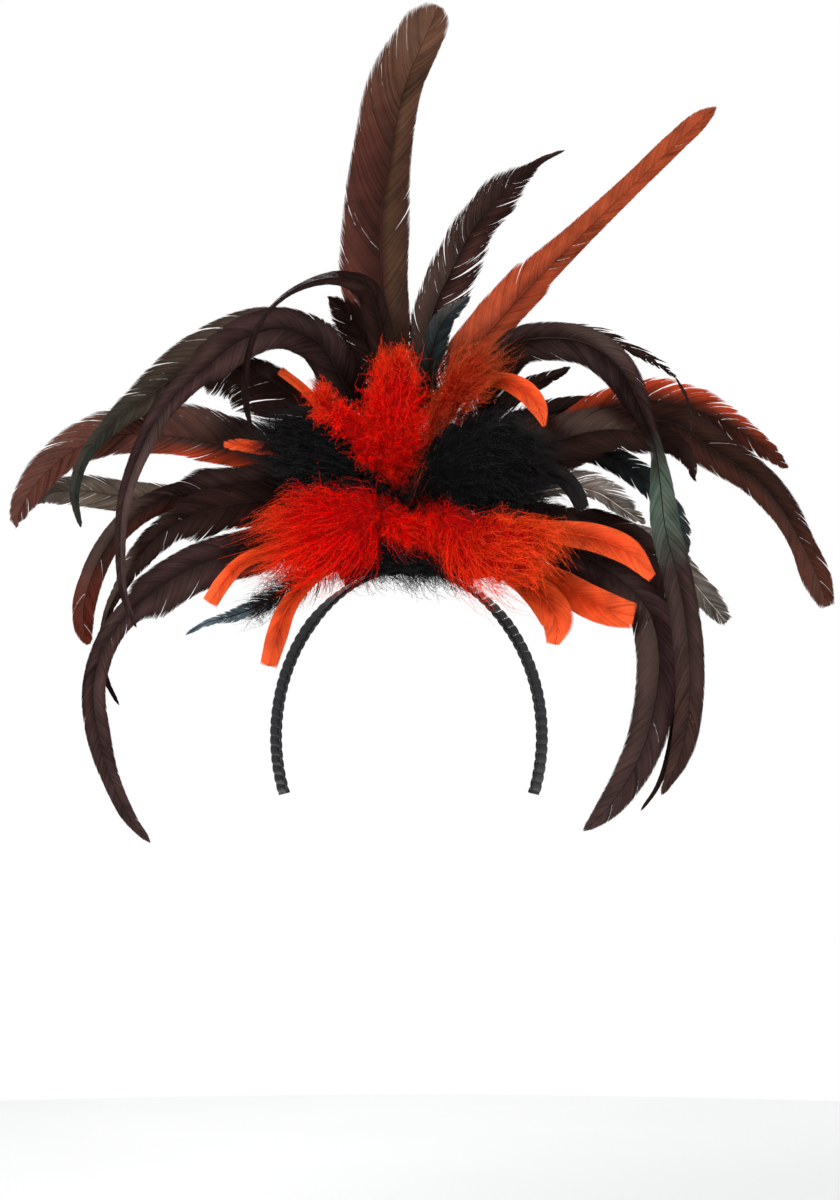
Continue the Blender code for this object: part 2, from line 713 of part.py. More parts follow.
def build_felt():
    """The backing: a plate whose top is a round arch and whose foot follows the band."""
    outline = []
    foot_turn = math.acos(FELT_HALF_WIDTH / BAND_HALF_SPAN)
    for step in range(FELT_ARC_STEPS + 1):
        turn = foot_turn + (math.pi - 2 * foot_turn) * step / FELT_ARC_STEPS
        foot = band_point(turn)
        outline.append((foot.x, foot.z + BAND_THICKNESS / 2 + FELT_BAND_CLEARANCE))
    for step in range(FELT_ARC_STEPS + 1):
        turn = math.pi - math.pi * step / FELT_ARC_STEPS
        rise = (FELT_TOP - FELT_SHOULDER) * math.sin(turn)
        outline.append((FELT_HALF_WIDTH * math.cos(turn), FELT_SHOULDER + rise))
    bm = bmesh.new()
    front = bm.faces.new([bm.verts.new((x, -FELT_THICKNESS / 2, z)) for x, z in outline])
    made = bmesh.ops.extrude_face_region(bm, geom=[front], use_keep_orig=True)
    back = [item for item in made["geom"] if isinstance(item, bmesh.types.BMVert)]
    bmesh.ops.translate(bm, vec=(0.0, FELT_THICKNESS, 0.0), verts=back)
    add_object("felt_backing", bm, "black_felt")


def main():
    clear_scene()
    build_band()
    build_felt()
    for feather in FEATHERS:
        build_feather(feather)
    for plume in PLUMES:
        build_plume(plume)


main()
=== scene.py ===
"""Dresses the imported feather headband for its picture.

The wound band, the felt backing, every feather, trimmed flat and fluffy plume is made here in
full: shafts with thousands of barbs, downy strands and wraps of ribbon. Run as a script, it makes
the pieces over the CAD model, lights them and places the camera.
"""

import math
from collections import namedtuple

import bmesh
import bpy
import numpy as np
from bpy.props import FloatProperty, FloatVectorProperty, PointerProperty
from mathutils import Matrix, Vector


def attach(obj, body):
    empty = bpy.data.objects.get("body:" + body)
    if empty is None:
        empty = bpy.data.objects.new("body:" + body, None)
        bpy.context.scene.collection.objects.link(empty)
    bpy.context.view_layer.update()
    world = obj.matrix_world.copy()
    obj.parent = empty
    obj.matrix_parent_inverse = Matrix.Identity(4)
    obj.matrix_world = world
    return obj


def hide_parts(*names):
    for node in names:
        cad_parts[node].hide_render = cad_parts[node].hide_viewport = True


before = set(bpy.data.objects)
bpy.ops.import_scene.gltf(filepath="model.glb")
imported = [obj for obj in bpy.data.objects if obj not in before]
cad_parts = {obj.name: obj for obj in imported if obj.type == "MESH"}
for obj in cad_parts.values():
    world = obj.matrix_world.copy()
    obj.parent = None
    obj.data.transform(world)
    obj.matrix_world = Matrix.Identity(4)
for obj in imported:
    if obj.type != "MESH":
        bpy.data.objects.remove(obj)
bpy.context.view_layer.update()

bl_info = {
    "name": "Feather Headband",
    "version": (1, 0, 0),
    "blender": (4, 5, 0),
    "location": "View3D > Sidebar > Headband",
    "description": "Makes the pieces of a feather headband and lights them",
    "category": "Object",
}

# Lengths are in mm and turns in degrees, down to the studio
MM = 0.001
GAP = 0.3

# The wound band, a stretch of an upright ellipse
BAND_WIDTH = 11.0
BAND_THICKNESS = 2.6
BAND_HALF_SPAN = 74.7
BAND_RISE = 93.7
BAND_FROM = -20.0
BAND_TO = 200.0
BAND_STEP = 8.8
BAND_TILT = 32.0
BAND_FLAT_CROWN = 12.0
BAND_TILT_RUN = 35.0
BAND_LEAN = 10.0
BAND_SAMPLES = 400
BAND_SIDES = 20
BAND_ROUNDNESS = 0.45
STEPS_PER_WRAP = 14
# A wrap bulges in its middle and steps up over the one before, as shares of the relief
WRAP_BULGE = 0.55
WRAP_FULLNESS = 0.7
WRAP_STEP = 0.45
WRAP_SINK = 0.6
EDGE_INSET = 0.2
FACE_INSET = 0.1

# The felt backing and its nap
FELT_THICKNESS = 2.0
FELT_HALF_WIDTH = 36.0
FELT_TOP = 72.0
FELT_SHOULDER = 24.0
FELT_BAND_CLEARANCE = 0.9
FELT_ARC_STEPS = 28
FELT_BEVEL = 0.5
FELT_BEVEL_STEPS = 3
NAP_SPOTS = 10000
NAP_SEED = 72
NAP_LENGTHS = (0.5, 1.4)
NAP_HALF_WIDTH = 0.05
NAP_RISE = 0.35

# The fan of quills on each face of the backing, which opens to the front and back as it goes out
FAN_CENTRE_Z = 40.0
FAN_INNER = 24.0
FAN_OUTER = 44.0
QUILL_RADIUS = 1.3
OPENING_FROM = 80.0
OPENING_RUN = 150.0
OPENING_GAIN = 0.6

# The course and shaft of a feather
CURVE_STEPS = 24
COURSE_STEP = 1.0
SHAFT_STEP = 4.0
SHAFT_SIDES = 8
FEWEST_SHAFT_RINGS = 4
SHAFT_TIP_RADIUS = 0.14
SHAFT_TAPER = 2.6

# The barbs: where they stand and how they turn, as shares of the step or the angle
FIRST_BARB = FAN_OUTER - FAN_INNER - 4.0
ROOT_JITTER = 0.2
CLUMP_EVENNESS = 3.0
LEAST_DOWN = 0.1
ANGLE_AT_FOOT = 1.22
ANGLE_CLOSING = 0.42
DOWN_OPENING = 0.6
CLUMP_SWAY = 0.22
BARB_SWAY = 0.004
DOWN_SWAY = 0.20
LOOSE_TURNS = (0.7, 1.5)
BARB_ANGLES = (5.0, 72.0)
# How the barbs are trimmed to the outline, as shares of their length
OUTLINE_SAMPLES = 700
TIP_ROUNDING = 0.5
CLUMP_TRIM = 0.6
BARB_TRIM = 0.8
WISP_REACH = 1.1
SHORTEST_BARB = 0.15
LEAST_REACH = 0.2
BROAD_FROM = 14.0
BROAD_RUN = 22.0
BROAD_TO = 0.55
# How the barbs lie: how they bow out and on, gather in clumps, lift, cup and tilt like shingles.
# A name in _RISE is the power by which that grows from the shaft to the barb's tip.
BARB_STEPS = 5
OUT_BOW = 1.3
ON_BOW = 1.15
GAPES = (0.3, 1.3)
GAPE_RISE = 4
SPLIT_RISE = 2.2
SPLIT_RUN = 2.5
LIFT_RISE = 1.5
BLADE_CUP = 0.10
BARB_TILT = 14.0
TILT_SWAY = 3.0
CLUMP_LIFT = 0.16
BARB_LIFT = 0.05
DOWN_LIFT = 0.8
LOOSE_LIFT = 1.2
# How wide a barb is, down to its pointed tip, and how its shade varies, in streaks of several barbs
BARB_HALF_LIMIT = 0.45
LOOSE_WIDTH = 0.6
DOWN_THINNING = 0.60
DOWN_THINNING_POWER = 0.6
ROOT_COVER = 0.5
POINT_END = 1.03
POINT_RUN = 0.16
POINT_WIDTH = 0.14
STREAK = 4
MIDDLE_SHADE = 0.5
SHADE_SWAY = 0.10

# The stem, fibres and heart of a plume
STEM_RADIUS = 1.2
STEM_FRONT = 16.5
STEM_LEAN = 0.12
STEM_STATIONS = 24
HEAD_STATIONS = 80
FIBRE_STEPS = 6
FEWEST_FIBRES = 500
MOST_FIBRES = 2400
LOCKS_ALONG = (0.04, 0.90)
LOCK_SPREAD = 1.6
LOCK_TURN = 0.40
LOCK_SHADE = 0.7
FUZZ_EVENNESS = 1.6
FUZZES = (0.3, 1.3)
WISP_FUZZES = (2.0, 6.0)
FUZZ_LIMIT = 9.0
REACHES = (0.60, 1.0)
REACH_BOW = 0.85
LEAST_SWEEP = 3.0
SWEEPS = (0.2, 1.5)
SWEEP_BOW = 1.3
WISP_SWEEP = 0.6
WAVES = (0.8, 2.0)
WISP_DRIFT = 0.7
RIB_TAPER = 0.8
# The hairs of a fibre: the stretch of it that they stand on, their length at its ends and what its
# middle adds, how far out and how far on they point
HAIRS_ALONG = (0.10, 0.97)
HAIR_AT_ENDS = 0.45
HAIR_GAIN = 0.75
HAIR_SWELL = 0.6
HAIR_LENGTHS = (0.6, 1.3)
HAIR_OUT = 0.85
HAIR_ON = (0.2, 0.9)
HAIR_FADE = 0.12
BARE_WISP = 0.65
BARE_WISP_FROM = 0.45
# The heart: its share of the plume's widths, where it ends, and its soft lumps
HEART_SHARE = 0.78
HEART_END = 0.84
HEART_CLOSING = 5.0
HEART_SIDES = 14
HEART_STATIONS = 20
HEART_LUMPS = 0.12
LUMPS_ROUND = 3.0
LUMP_TWIST = 2.1
STEM_RINGS = 8

FRONT = -1
BACK = 1

Feather = namedtuple("Feather", "name slot kind face fan rows foot splits", defaults=[(0, 0), ()])
Plume = namedtuple("Plume", "name slot seat spread rows")
Course = namedtuple("Course", "length at table")
Spot = namedtuple("Spot", "point along left face wide deep")
Barbs = namedtuple("Barbs", "root clump downy loose angle spacing")
Block = namedtuple("Block", "points faces uv strand material")

# A course's table holds a point, the way on, the left side, the face and, from this column on, the
# width on the left and on the right
WIDTHS = 12

# Each row of a feather: x, z, y of the shaft, then the vane's width on the left and on the right of
# the shaft as it goes out, and the roll of the vane about the shaft. A row may end before a right
# width like the left one, or before no roll. "kind" is that of its vane, "fan" the direction of the
# quill on the backing, up from +X, and "foot" how broad the wispy foot is on the left and on the
# right. "splits" stand open in the vane: how far along the shaft as a share of its length, the side
# (1 left, -1 right), and the opening.
FEATHERS = [
    Feather("upright_brown_feather", "brown_feather", "brown quill", BACK, 97, [
        (-9, 110, 7, 4), (-12, 136, 9, 15, 13, 5), (-15, 163, 10, 24, 15, 8), (-16, 197, 10, 22, 17, 8),
        (-10, 236, 8, 22, 12, 6), (-1, 277, 4, 21, 10, 4), (9, 300, 1, 17, 10, 2), (14, 312, -1, 14, 9),
        (16, 319, -2, 7, 5)
    ], (9, 9), [(0.46, -1, 2.4), (0.73, 1, 1.3), (0.80, 1, 1.6), (0.52, 1, 0.8), (0.28, 1, 1.0)]),
    Feather("upright_dark_feather", "dark_feather", "dark quill", BACK, 84, [
        (7, 112, 9, 5), (13, 146, 13, 11, 13), (26, 175, 15, 13.5, 16.5, -6), (35, 193, 15, 13, 14, -8),
        (45, 206, 14, 12.5, 12.5, -8), (57, 219, 12, 11, 10, -5), (66, 226, 10, 5, 5.5, -2),
        (74, 231.5, 8, 2.4, 1.8), (88, 238, 6, 0.6)
    ], (12, 14), [(0.30, 1, 1.2), (0.38, -1, 1.4), (0.50, -1, 1.4), (0.66, -1, 2.6), (0.80, -1, 1.6)]),
    Feather("upright_rust_feather", "rust_feather", "rust quill", BACK, 70, [
        (29, 115, 13, 5, 4), (48, 140, 19, 14, 8), (66, 160, 21, 13, 8, 5), (96, 190, 22, 9, 6.5, 8),
        (129, 222, 20, 7, 5.5, 8), (151, 243, 18, 7, 5, 5), (167, 258, 16, 5, 4), (174, 264, 15, 1)
    ], (14, 10), [(0.40, 1, 2.0), (0.34, 1, 1.0), (0.62, -1, 0.8)]),
    Feather("green_small_feather", "green_feather", "green tail", FRONT, 84, [
        (9, 98, -5, 4), (12, 120, -8, 7), (19, 140, -9, 7), (35, 155, -9, 0.8)
    ], (8, 8), [(0.5, 1, 1.2), (0.6, -1, 1.2)]),
    Feather("left_thin_arch_feather", "dark_feather", "thin tail", FRONT, 98, [
        (-12, 112, -8, 4), (-17, 142, -14, 6, 6, 10), (-23, 158, -18, 6, 6, 20),
        (-35, 163, -21, 6, 6, 35), (-58, 159, -29, 4, 4, 50), (-73, 149, -34, 3.5, 3.5, 60),
        (-84, 134, -38, 3.5, 3.5, 60), (-90, 111, -40, 3.8, 3.8, 55), (-90, 94, -40, 3.5, 3.5, 50),
        (-86, 76, -39, 0.6, 0.6, 45)], (8, 7)),
    Feather("left_short_dark_feather", "dark_feather", "dark tail", BACK, 109, [
        (-17, 102, 4.5, 8), (-23, 125, 4.5, 13, 15), (-34, 143, 4.5, 11, 12), (-46, 156, 4.5, 0.8)
    ], (12, 12), [(0.66, 1, 2.0), (0.76, -1, 1.2)]),
    Feather("left_ragged_feather", "dark_feather", "ragged tail", BACK, 121, [
        (-27, 100, 12, 5), (-35, 117, 16, 8.5), (-44, 133, 16, 8), (-53, 145, 16, 0.8)
    ], (11, 11), [(0.62, 1, 2.4), (0.75, -1, 2.4), (0.82, 1, 2.0)]),
    Feather("left_olive_arch_feather", "olive_feather", "olive tail", BACK, 133, [
        (-39, 103, 7, 4), (-55, 130, 10, 10, 10, -4), (-78, 138, 12, 11, 12, -8),
        (-99, 132, 13, 11, 14, -8), (-119, 120, 13, 10, 15, -8), (-145, 101, 12, 9, 12, -8),
        (-169, 83, 10, 6, 5, -4), (-182, 66, 8, 3.5), (-188, 46, 6, 3), (-184, 25, 4, 0.6)
    ], (10, 12), [(0.44, -1, 3.2), (0.56, -1, 2.6), (0.66, -1, 3.2)]),
    Feather("left_long_arch_feather", "plum_feather", "plum tail", FRONT, 112, [
        (-34, 102, -8, 4), (-50, 128, -14, 10), (-70, 136, -19, 11, 11, 5), (-95, 128, -25, 10, 10, 10),
        (-113, 113, -30, 8, 8, 15), (-133, 93, -35, 7, 7, 20), (-147, 67, -39, 6, 6, 25),
        (-156, 40, -42, 4.5, 4.5, 25), (-158, 10, -43, 3, 3, 20), (-156, -12, -43, 2, 2, 10),
        (-149, -31, -42, 0.6)], (12, 12), [(0.24, -1, 2.4), (0.17, -1, 1.2)]),
    Feather("left_glint_feather", "dark_feather", "dark tail", FRONT, 126, [
        (-48, 85, -5, 6), (-67, 101, -6, 19, 9), (-88, 112, -7, 24, 9), (-106, 112, -7, 21, 6),
        (-117, 105, -7, 9, 3)], (17, 12), [(0.56, 1, 1.8), (0.70, 1, 2.2), (0.80, 1, 2.2)]),
    Feather("left_red_brown_feather", "red_brown_feather", "flame tail", BACK, 160, [
        (-64, 57, 9, 4), (-88, 69, 14, 8), (-112, 74, 17, 10, 19, 5), (-139, 78, 19, 11, 20, 8),
        (-165, 78, 19, 11, 17, 8), (-187, 71, 18, 10, 14, 8), (-203, 59, 16, 8, 12, 5),
        (-214, 46, 14, 8, 9), (-220, 34, 12, 5, 6), (-222, 25, 11, 1.5)
    ], (12, 17), [(0.30, -1, 1.6), (0.44, -1, 1.4), (0.60, -1, 2.6), (0.72, -1, 2.6), (0.91, 1, 3.4)]),
    Feather("left_olive_feather", "olive_feather", "striped tail", BACK, 180, [
        (-66, 36, 12, 3), (-97, 35, 21, 7), (-130, 40, 25, 9.5), (-164, 44, 27, 9.5), (-190, 47, 27, 9),
        (-207, 44, 26, 5, 6), (-212, 39, 25, 0.8)
    ], (9, 9), [(0.70, -1, 1.6), (0.82, 1, 3.4), (0.62, 1, 1.8)]),
    Feather("left_paddle_feather", "red_brown_feather", "paddle tail", FRONT, 162, [
        (-66, 51, -5, 4), (-95, 47, -7, 7), (-131, 43, -9, 7), (-150, 34, -10, 7), (-166, 18, -11, 6.5),
        (-176, -1, -12, 7, 6.5), (-181, -22, -12, 6.5), (-180, -34, -12, 4.5, 5), (-178, -40, -12, 2)
    ], (13, 13)),
    Feather("left_fan_feather", "dark_feather", "dark tail", FRONT, 174, [
        (-66, 41, -9, 4), (-85, 40, -12, 9), (-109, 35, -15, 11), (-134, 24, -17, 9), (-150, 8, -19, 7),
        (-160, -8, -20, 4), (-167, -23, -21, 2.2), (-170, -40, -21, 1.8), (-167, -60, -21, 1.4),
        (-160, -74, -21, 0.6)], (14, 13), [(0.35, -1, 1.2), (0.5, 1, 1.2)]),
    Feather("left_long_drop_feather", "plum_feather", "plum tail", FRONT, 188, [
        (-60, 27, -6, 3), (-82, 15, -14, 6), (-114, 6, -22, 9, 9, 5), (-143, -12, -28, 8, 8, 10),
        (-164, -34, -32, 7, 7, 15), (-173, -62, -34, 7, 7, 15), (-170, -91, -34, 7, 7, 10),
        (-163, -115, -32, 5, 5, 5), (-152, -137, -29, 3.5), (-142, -149, -27, 0.6)
    ], (15, 12), [(0.26, 1, 2.0), (0.33, 1, 2.4), (0.41, 1, 1.8), (0.52, 1, 2.4), (0.62, 1, 1.4)]),
    Feather("left_small_black_feather", "green_feather", "blue black tail", FRONT, 216, [
        (-52, 3, -6, 2), (-78, -15, -11, 5), (-95, -23, -13, 4.5), (-113, -28, -13, 2),
        (-125, -35, -13, 0.6)], (10, 10), [(0.4, 1, 2.0), (0.6, -1, 2.0), (0.8, 1, 1.5)]),
    Feather("right_arch_feather", "plum_feather", "green arch", FRONT, 47, [
        (40, 87, -7, 4), (47, 112, -13, 8, 8, 5), (60, 127, -19, 9, 9, 10), (80, 130, -25, 9, 9, 10),
        (102, 125, -30, 9, 9, 15), (116, 113, -33, 9, 9, 25), (127, 93, -35, 8.5, 8.5, 50),
        (135, 72, -36, 8, 8, 70), (138, 52, -37, 8, 8, 45), (141, 25, -38, 8.5, 8.5, 15),
        (148, -4, -39, 8.5, 8.5, 5), (153, -35, -39, 8.5), (154, -70, -37, 8), (150, -98, -33, 6.5),
        (139, -123, -29, 1)], (8, 13), [(0.20, -1, 1.6), (0.24, -1, 1.2), (0.30, 1, 2.0)]),
    Feather("right_thread_feather", "dark_feather", "thread", FRONT, 58, [
        (34, 97, -4, 1.6), (60, 124, -9, 2), (85, 134, -13, 4, 2), (107, 130, -16, 7, 2),
        (131, 119, -18, 7, 2), (147, 109, -19, 1.6), (156, 88, -19, 1.4), (155, 66, -19, 0.6)]),
    Feather("right_red_feather", "rust_feather", "rust tail", BACK, 36, [
        (48, 66, 12, 3), (85, 79, 26, 9, 8), (112, 90, 31, 15, 11), (140, 96, 33, 16, 12, 5),
        (169, 91, 34, 13, 11, 5), (191, 80, 34, 8), (207, 68, 33, 5), (217, 59, 32, 0.8)
    ], (11, 12), [(0.40, 1, 2.0), (0.50, 1, 2.6), (0.60, 1, 2.2), (0.72, 1, 2.6), (0.82, 1, 2.4)]),
    Feather("right_long_brown_feather", "red_brown_feather", "red brown tail", BACK, 24, [
        (50, 57, 6, 3), (85, 69, 11, 9), (118, 84, 14, 12, 11, -5), (148, 85, 16, 12, 12, -8),
        (173, 69, 17, 12, 12, -8), (195, 54, 17, 11, 10, -8), (210, 37, 16, 10, 8, -5),
        (222, 16, 14, 8, 7), (231, -4, 12, 8, 9), (236, -19, 10, 4.5)
    ], (11, 13), [(0.66, -1, 2.2), (0.78, 1, 2.0), (0.87, 1, 3.2), (0.56, -1, 1.0)]),
    Feather("right_brown_feather", "red_brown_feather", "dark tail", FRONT, 34, [
        (52, 66, -4, 4), (73, 71, -6, 13, 12), (93, 77, -7, 15, 14), (113, 80, -8, 13),
        (132, 77, -8, 10, 11), (149, 71, -8, 7), (157, 61, -8, 4), (160, 50, -8, 0.8)
    ], (16, 15), [(0.55, -1, 1.6), (0.74, 1, 1.2)]),
    Feather("right_dark_top_feather", "dark_feather", "dark tail", BACK, 47, [
        (43, 74, 14, 3), (62, 84, 30, 6), (79, 92, 38, 7), (101, 95, 42, 7), (129, 90, 44, 6),
        (157, 80, 45, 0.8)], (9, 9), [(0.5, 1, 1.2), (0.7, -1, 1.2)]),
    Feather("right_spike_feather", "dark_feather", "dark tail", BACK, 58, [
        (37, 82, 12, 3), (52, 95, 20, 5), (68, 106, 24, 5.5), (82, 112, 25, 3.5), (92, 117, 25, 0.8)
    ], (8, 8), [(0.5, 1, 1.2)]),
    Feather("right_gray_feather", "gray_feather", "pale ragged tail", BACK, 0, [
        (54, 42, 4, 3), (76, 46, 5, 8, 4), (92, 48, 5, 12, 5), (106, 45, 5, 12, 5), (120, 36, 5, 9, 5),
        (134, 27, 5, 0.8)
    ], (11, 8), [(0.36, 1, 2.6), (0.46, 1, 3.2), (0.57, 1, 3.6), (0.70, 1, 3.0), (0.52, -1, 1.6)]),
    Feather("right_ragged_feather", "green_feather", "green tail", BACK, 12, [
        (52, 48, 9, 3), (76, 59, 19, 5), (101, 70, 22, 8), (120, 62, 23, 8), (138, 49, 23, 8),
        (149, 34, 22, 7), (155, 21, 21, 5), (157, 8, 20, 0.8)
    ], (8, 10), [(0.62, 1, 2.6), (0.74, 1, 3.0), (0.84, 1, 2.4)]),
    Feather("right_gray_tip_feather", "gray_feather", "gray tail", BACK, -24, [
        (50, 21, 7, 2), (90, 22, 22, 3), (125, 24, 28, 5), (146, 16, 30, 6), (160, -3, 30, 7.5, 7),
        (174, -20, 29, 7.5, 6.5), (181, -28, 28, 4)], (8, 8), [(0.75, 1, 1.6), (0.85, 1, 1.2)]),
    Feather("right_dark_feather", "dark_feather", "dark tail", BACK, -12, [
        (52, 32, 5, 3), (80, 31, 11, 6), (107, 28, 15, 8), (129, 18, 17, 8, 10), (143, 1, 17, 7, 12),
        (150, -14, 16, 4, 11), (152, -22, 15, 0.8, 4)], (9, 9), [(0.6, -1, 1.6), (0.75, 1, 1.4)]),
    Feather("right_inner_drop_feather", "plum_feather", "plum tail", FRONT, -18, [
        (56, 23, -6, 4), (82, 16, -12, 6), (101, 8, -18, 7), (118, -4, -24, 10), (132, -20, -28, 12),
        (138, -45, -31, 13), (136, -70, -32, 12), (130, -94, -31, 11), (119, -117, -28, 9),
        (106, -134, -25, 5.5), (96, -143, -23, 0.8)], (9, 13), [(0.46, -1, 1.4)]),
    Feather("right_thin_drop_feather", "dark_feather", "thin tail", FRONT, 6, [
        (56, 39, -4, 2), (85, 29, -7, 3), (112, 12, -12, 3), (132, -10, -18, 3), (144, -38, -22, 2.5),
        (147, -69, -24, 2), (144, -98, -24, 1.8), (137, -119, -22, 1.2), (128, -132, -21, 0.6)], (6, 6)),
    Feather("right_black_flat", "black_flat", "trimmed black", FRONT, 20, [
        (54, 50, -5, 3), (70, 52, -12, 5), (84, 54, -15, 5), (92, 46, -16, 5), (97, 35, -16, 4)]),
    Feather("orange_flat_top", "orange_flat", "trimmed orange", FRONT, 70, [
        (27, 98, -9, 2), (42, 106, -19, 3), (54, 106, -26, 5), (65, 100, -29, 6), (72, 91, -29, 5),
        (75, 81, -28, 1)]),
    Feather("orange_flat_upper_right", "orange_flat", "trimmed orange", FRONT, -6, [
        (54, 32, -7, 3), (72, 26, -16, 4), (88, 22, -24, 7), (104, 19, -30, 8), (121, 11, -34, 8, 7),
        (135, -2, -36, 1.5, 4)]),
    Feather("orange_flat_right", "orange_flat", "trimmed orange", FRONT, -30, [
        (51, 12, -5, 3), (68, 3, -12, 5), (84, -6, -20, 8), (98, -15, -27, 9.5), (112, -21, -33, 9),
        (124, -24, -37, 7)]),
    Feather("orange_flat_lower_right", "orange_flat", "trimmed orange", FRONT, -42, [
        (43, 5, -6, 3), (56, -1, -16, 5), (68, -8, -26, 8), (77, -17, -31, 9.5), (82, -27, -32, 9.5, 9),
        (81, -40, -31, 2, 5)]),
    Feather("orange_flat_left", "orange_flat", "trimmed orange", FRONT, 202, [
        (-60, 17, -9, 3), (-78, 12, -20, 3.5), (-92, 6, -29, 4), (-103, -6, -32, 4.5),
        (-110, -17, -32, 4.5)]),
    Feather("orange_flat_lower_left", "orange_flat", "trimmed orange", FRONT, 230, [
        (-44, 3, -6, 3), (-59, -8, -13, 4), (-68, -20, -18, 5.3), (-73, -34, -20, 6),
        (-78, -52, -20, 4.8)]),
    Feather("orange_flat_small_left", "orange_flat", "ragged orange", FRONT, 150, [
        (-58, 67, -4, 3), (-75, 69, -9, 4), (-92, 71, -11, 4), (-104, 72, -11, 2.5)]),
    Feather("orange_flat_small_top", "orange_flat", "trimmed orange", FRONT, 138, [
        (-42, 80, -6, 2), (-56, 100, -12, 2.5), (-72, 113, -12, 2.5)]),
]

# How far a plume's down swells and its share of fuzz beyond that, how far its fibres drift along x
# and z, how far the down spreads on the stem, and its kind of down where that isn't its slot's
Spread = namedtuple("Spread", "swell fuzz drift_x drift_z stem down", defaults=[None])

# Each row of a plume: x, z, y of its middle, then its half width across the front and its half
# depth. "seat" is where its stem stands on the backing, as x and z.
PLUMES = [
    Plume("red_top_tuft", "red_fluff", (-3, 52), Spread(1.0, 0.9, 0.0, -2.0, 1.5), [
        (-8, 67, -31, 13, 8), (-8, 84, -34, 16, 12), (-7, 104, -34, 14, 12), (-6, 127, -29, 3, 3)]),
    Plume("red_arm_tuft", "red_fluff", (-10, 50), Spread(1.5, 1.0, 2.0, -2.0, 3.0), [
        (-22, 70, -38, 7, 5), (-35, 83, -48, 6, 5), (-48, 95, -49, 4.5, 4), (-62, 105, -47, 1.5, 2)]),
    Plume("orange_top_tuft", "orange_fluff", (4, 50), Spread(2.5, 1.2, 2.0, 1.0, 9.0), [
        (14, 79, -20, 3, 3), (23, 94, -25, 6, 5), (31, 108, -34, 10, 7), (50, 124, -37, 4, 4)]),
    Plume("black_left_tuft", "black_fluff", (-12, 42), Spread(4.5, 1.1, -4.0, -3.0, 11.0), [
        (-27, 55, -22, 12, 6), (-42, 64, -29, 20, 9), (-60, 72, -30, 18, 9), (-84, 80, -28, 5, 4)]),
    Plume("black_right_tuft", "black_fluff", (12, 44), Spread(4.5, 1.3, -5.0, -8.0, 13.0), [
        (16, 48, -24, 17, 8), (34, 56.5, -33, 31, 13), (55, 61, -34, 29, 14), (78, 58, -30, 8, 6)]),
    Plume("red_left_tuft", "red_fluff", (-11, 33), Spread(3.0, 1.5, -7.0, -6.0, 4.0), [
        (-24, 31, -28, 18, 8), (-38, 24.5, -35, 25.5, 13), (-56, 21, -35, 24.5, 13), (-80, 18, -31, 8, 5)]),
    Plume("red_centre_tuft", "red_fluff", (0, 28), Spread(1.5, 0.8, 0.0, -3.0, 3.0), [
        (-15, 31, -25, 6, 4), (0, 24, -27, 8, 5), (16, 20, -29, 8, 6), (32, 19, -30, 9, 6),
        (47, 23, -30, 6, 4)]),
    Plume("red_right_tuft", "red_fluff", (11, 37), Spread(3.0, 1.4, 2.0, -9.0, 3.0, "fading_red_fluff"), [
        (22, 28, -36, 7, 4), (38, 14.5, -45, 19.5, 9), (53, 13, -51, 20, 12), (68, 17, -53, 12, 10),
        (85, 12, -51, 5, 5)]),
    Plume("black_bottom_tuft", "black_fluff", (-4, 26), Spread(2.0, 0.7, 0.0, 1.0, 6.0), [
        (-38, 4, -15, 8, 6), (-16, 6, -22, 9, 6), (10, 5, -25, 10, 6), (41, 0, -16, 8, 6)]),
]
FOOT_SPREAD_OF_DOWN = Spread(0.0, 1.0, 0.0, 0.0, 0.0)

# The foot of a feather: where its down starts and ends along the shaft, its spread across and its
# depth, and how much thicker it grows. The feet that show in front have their own.
Foot = namedtuple("Foot", "start end spread depth thick")
FOOT_FIBRES_PER_MM = 2.6
FOOT_SWELL = (0.15, 0.85)
PLAIN_FOOT = Foot(0.0, 52.0, 11.0, 3.5, 1.0)
WISPY_FEET = {
    "right_inner_drop_feather": Foot(30.0, 104.0, 15.0, 30.0, 2.2),
    "left_long_drop_feather": Foot(20.0, 86.0, 13.0, 8.0, 1.4),
    "left_small_black_feather": Foot(30.0, 88.0, 8.0, 6.0, 3.4),
}

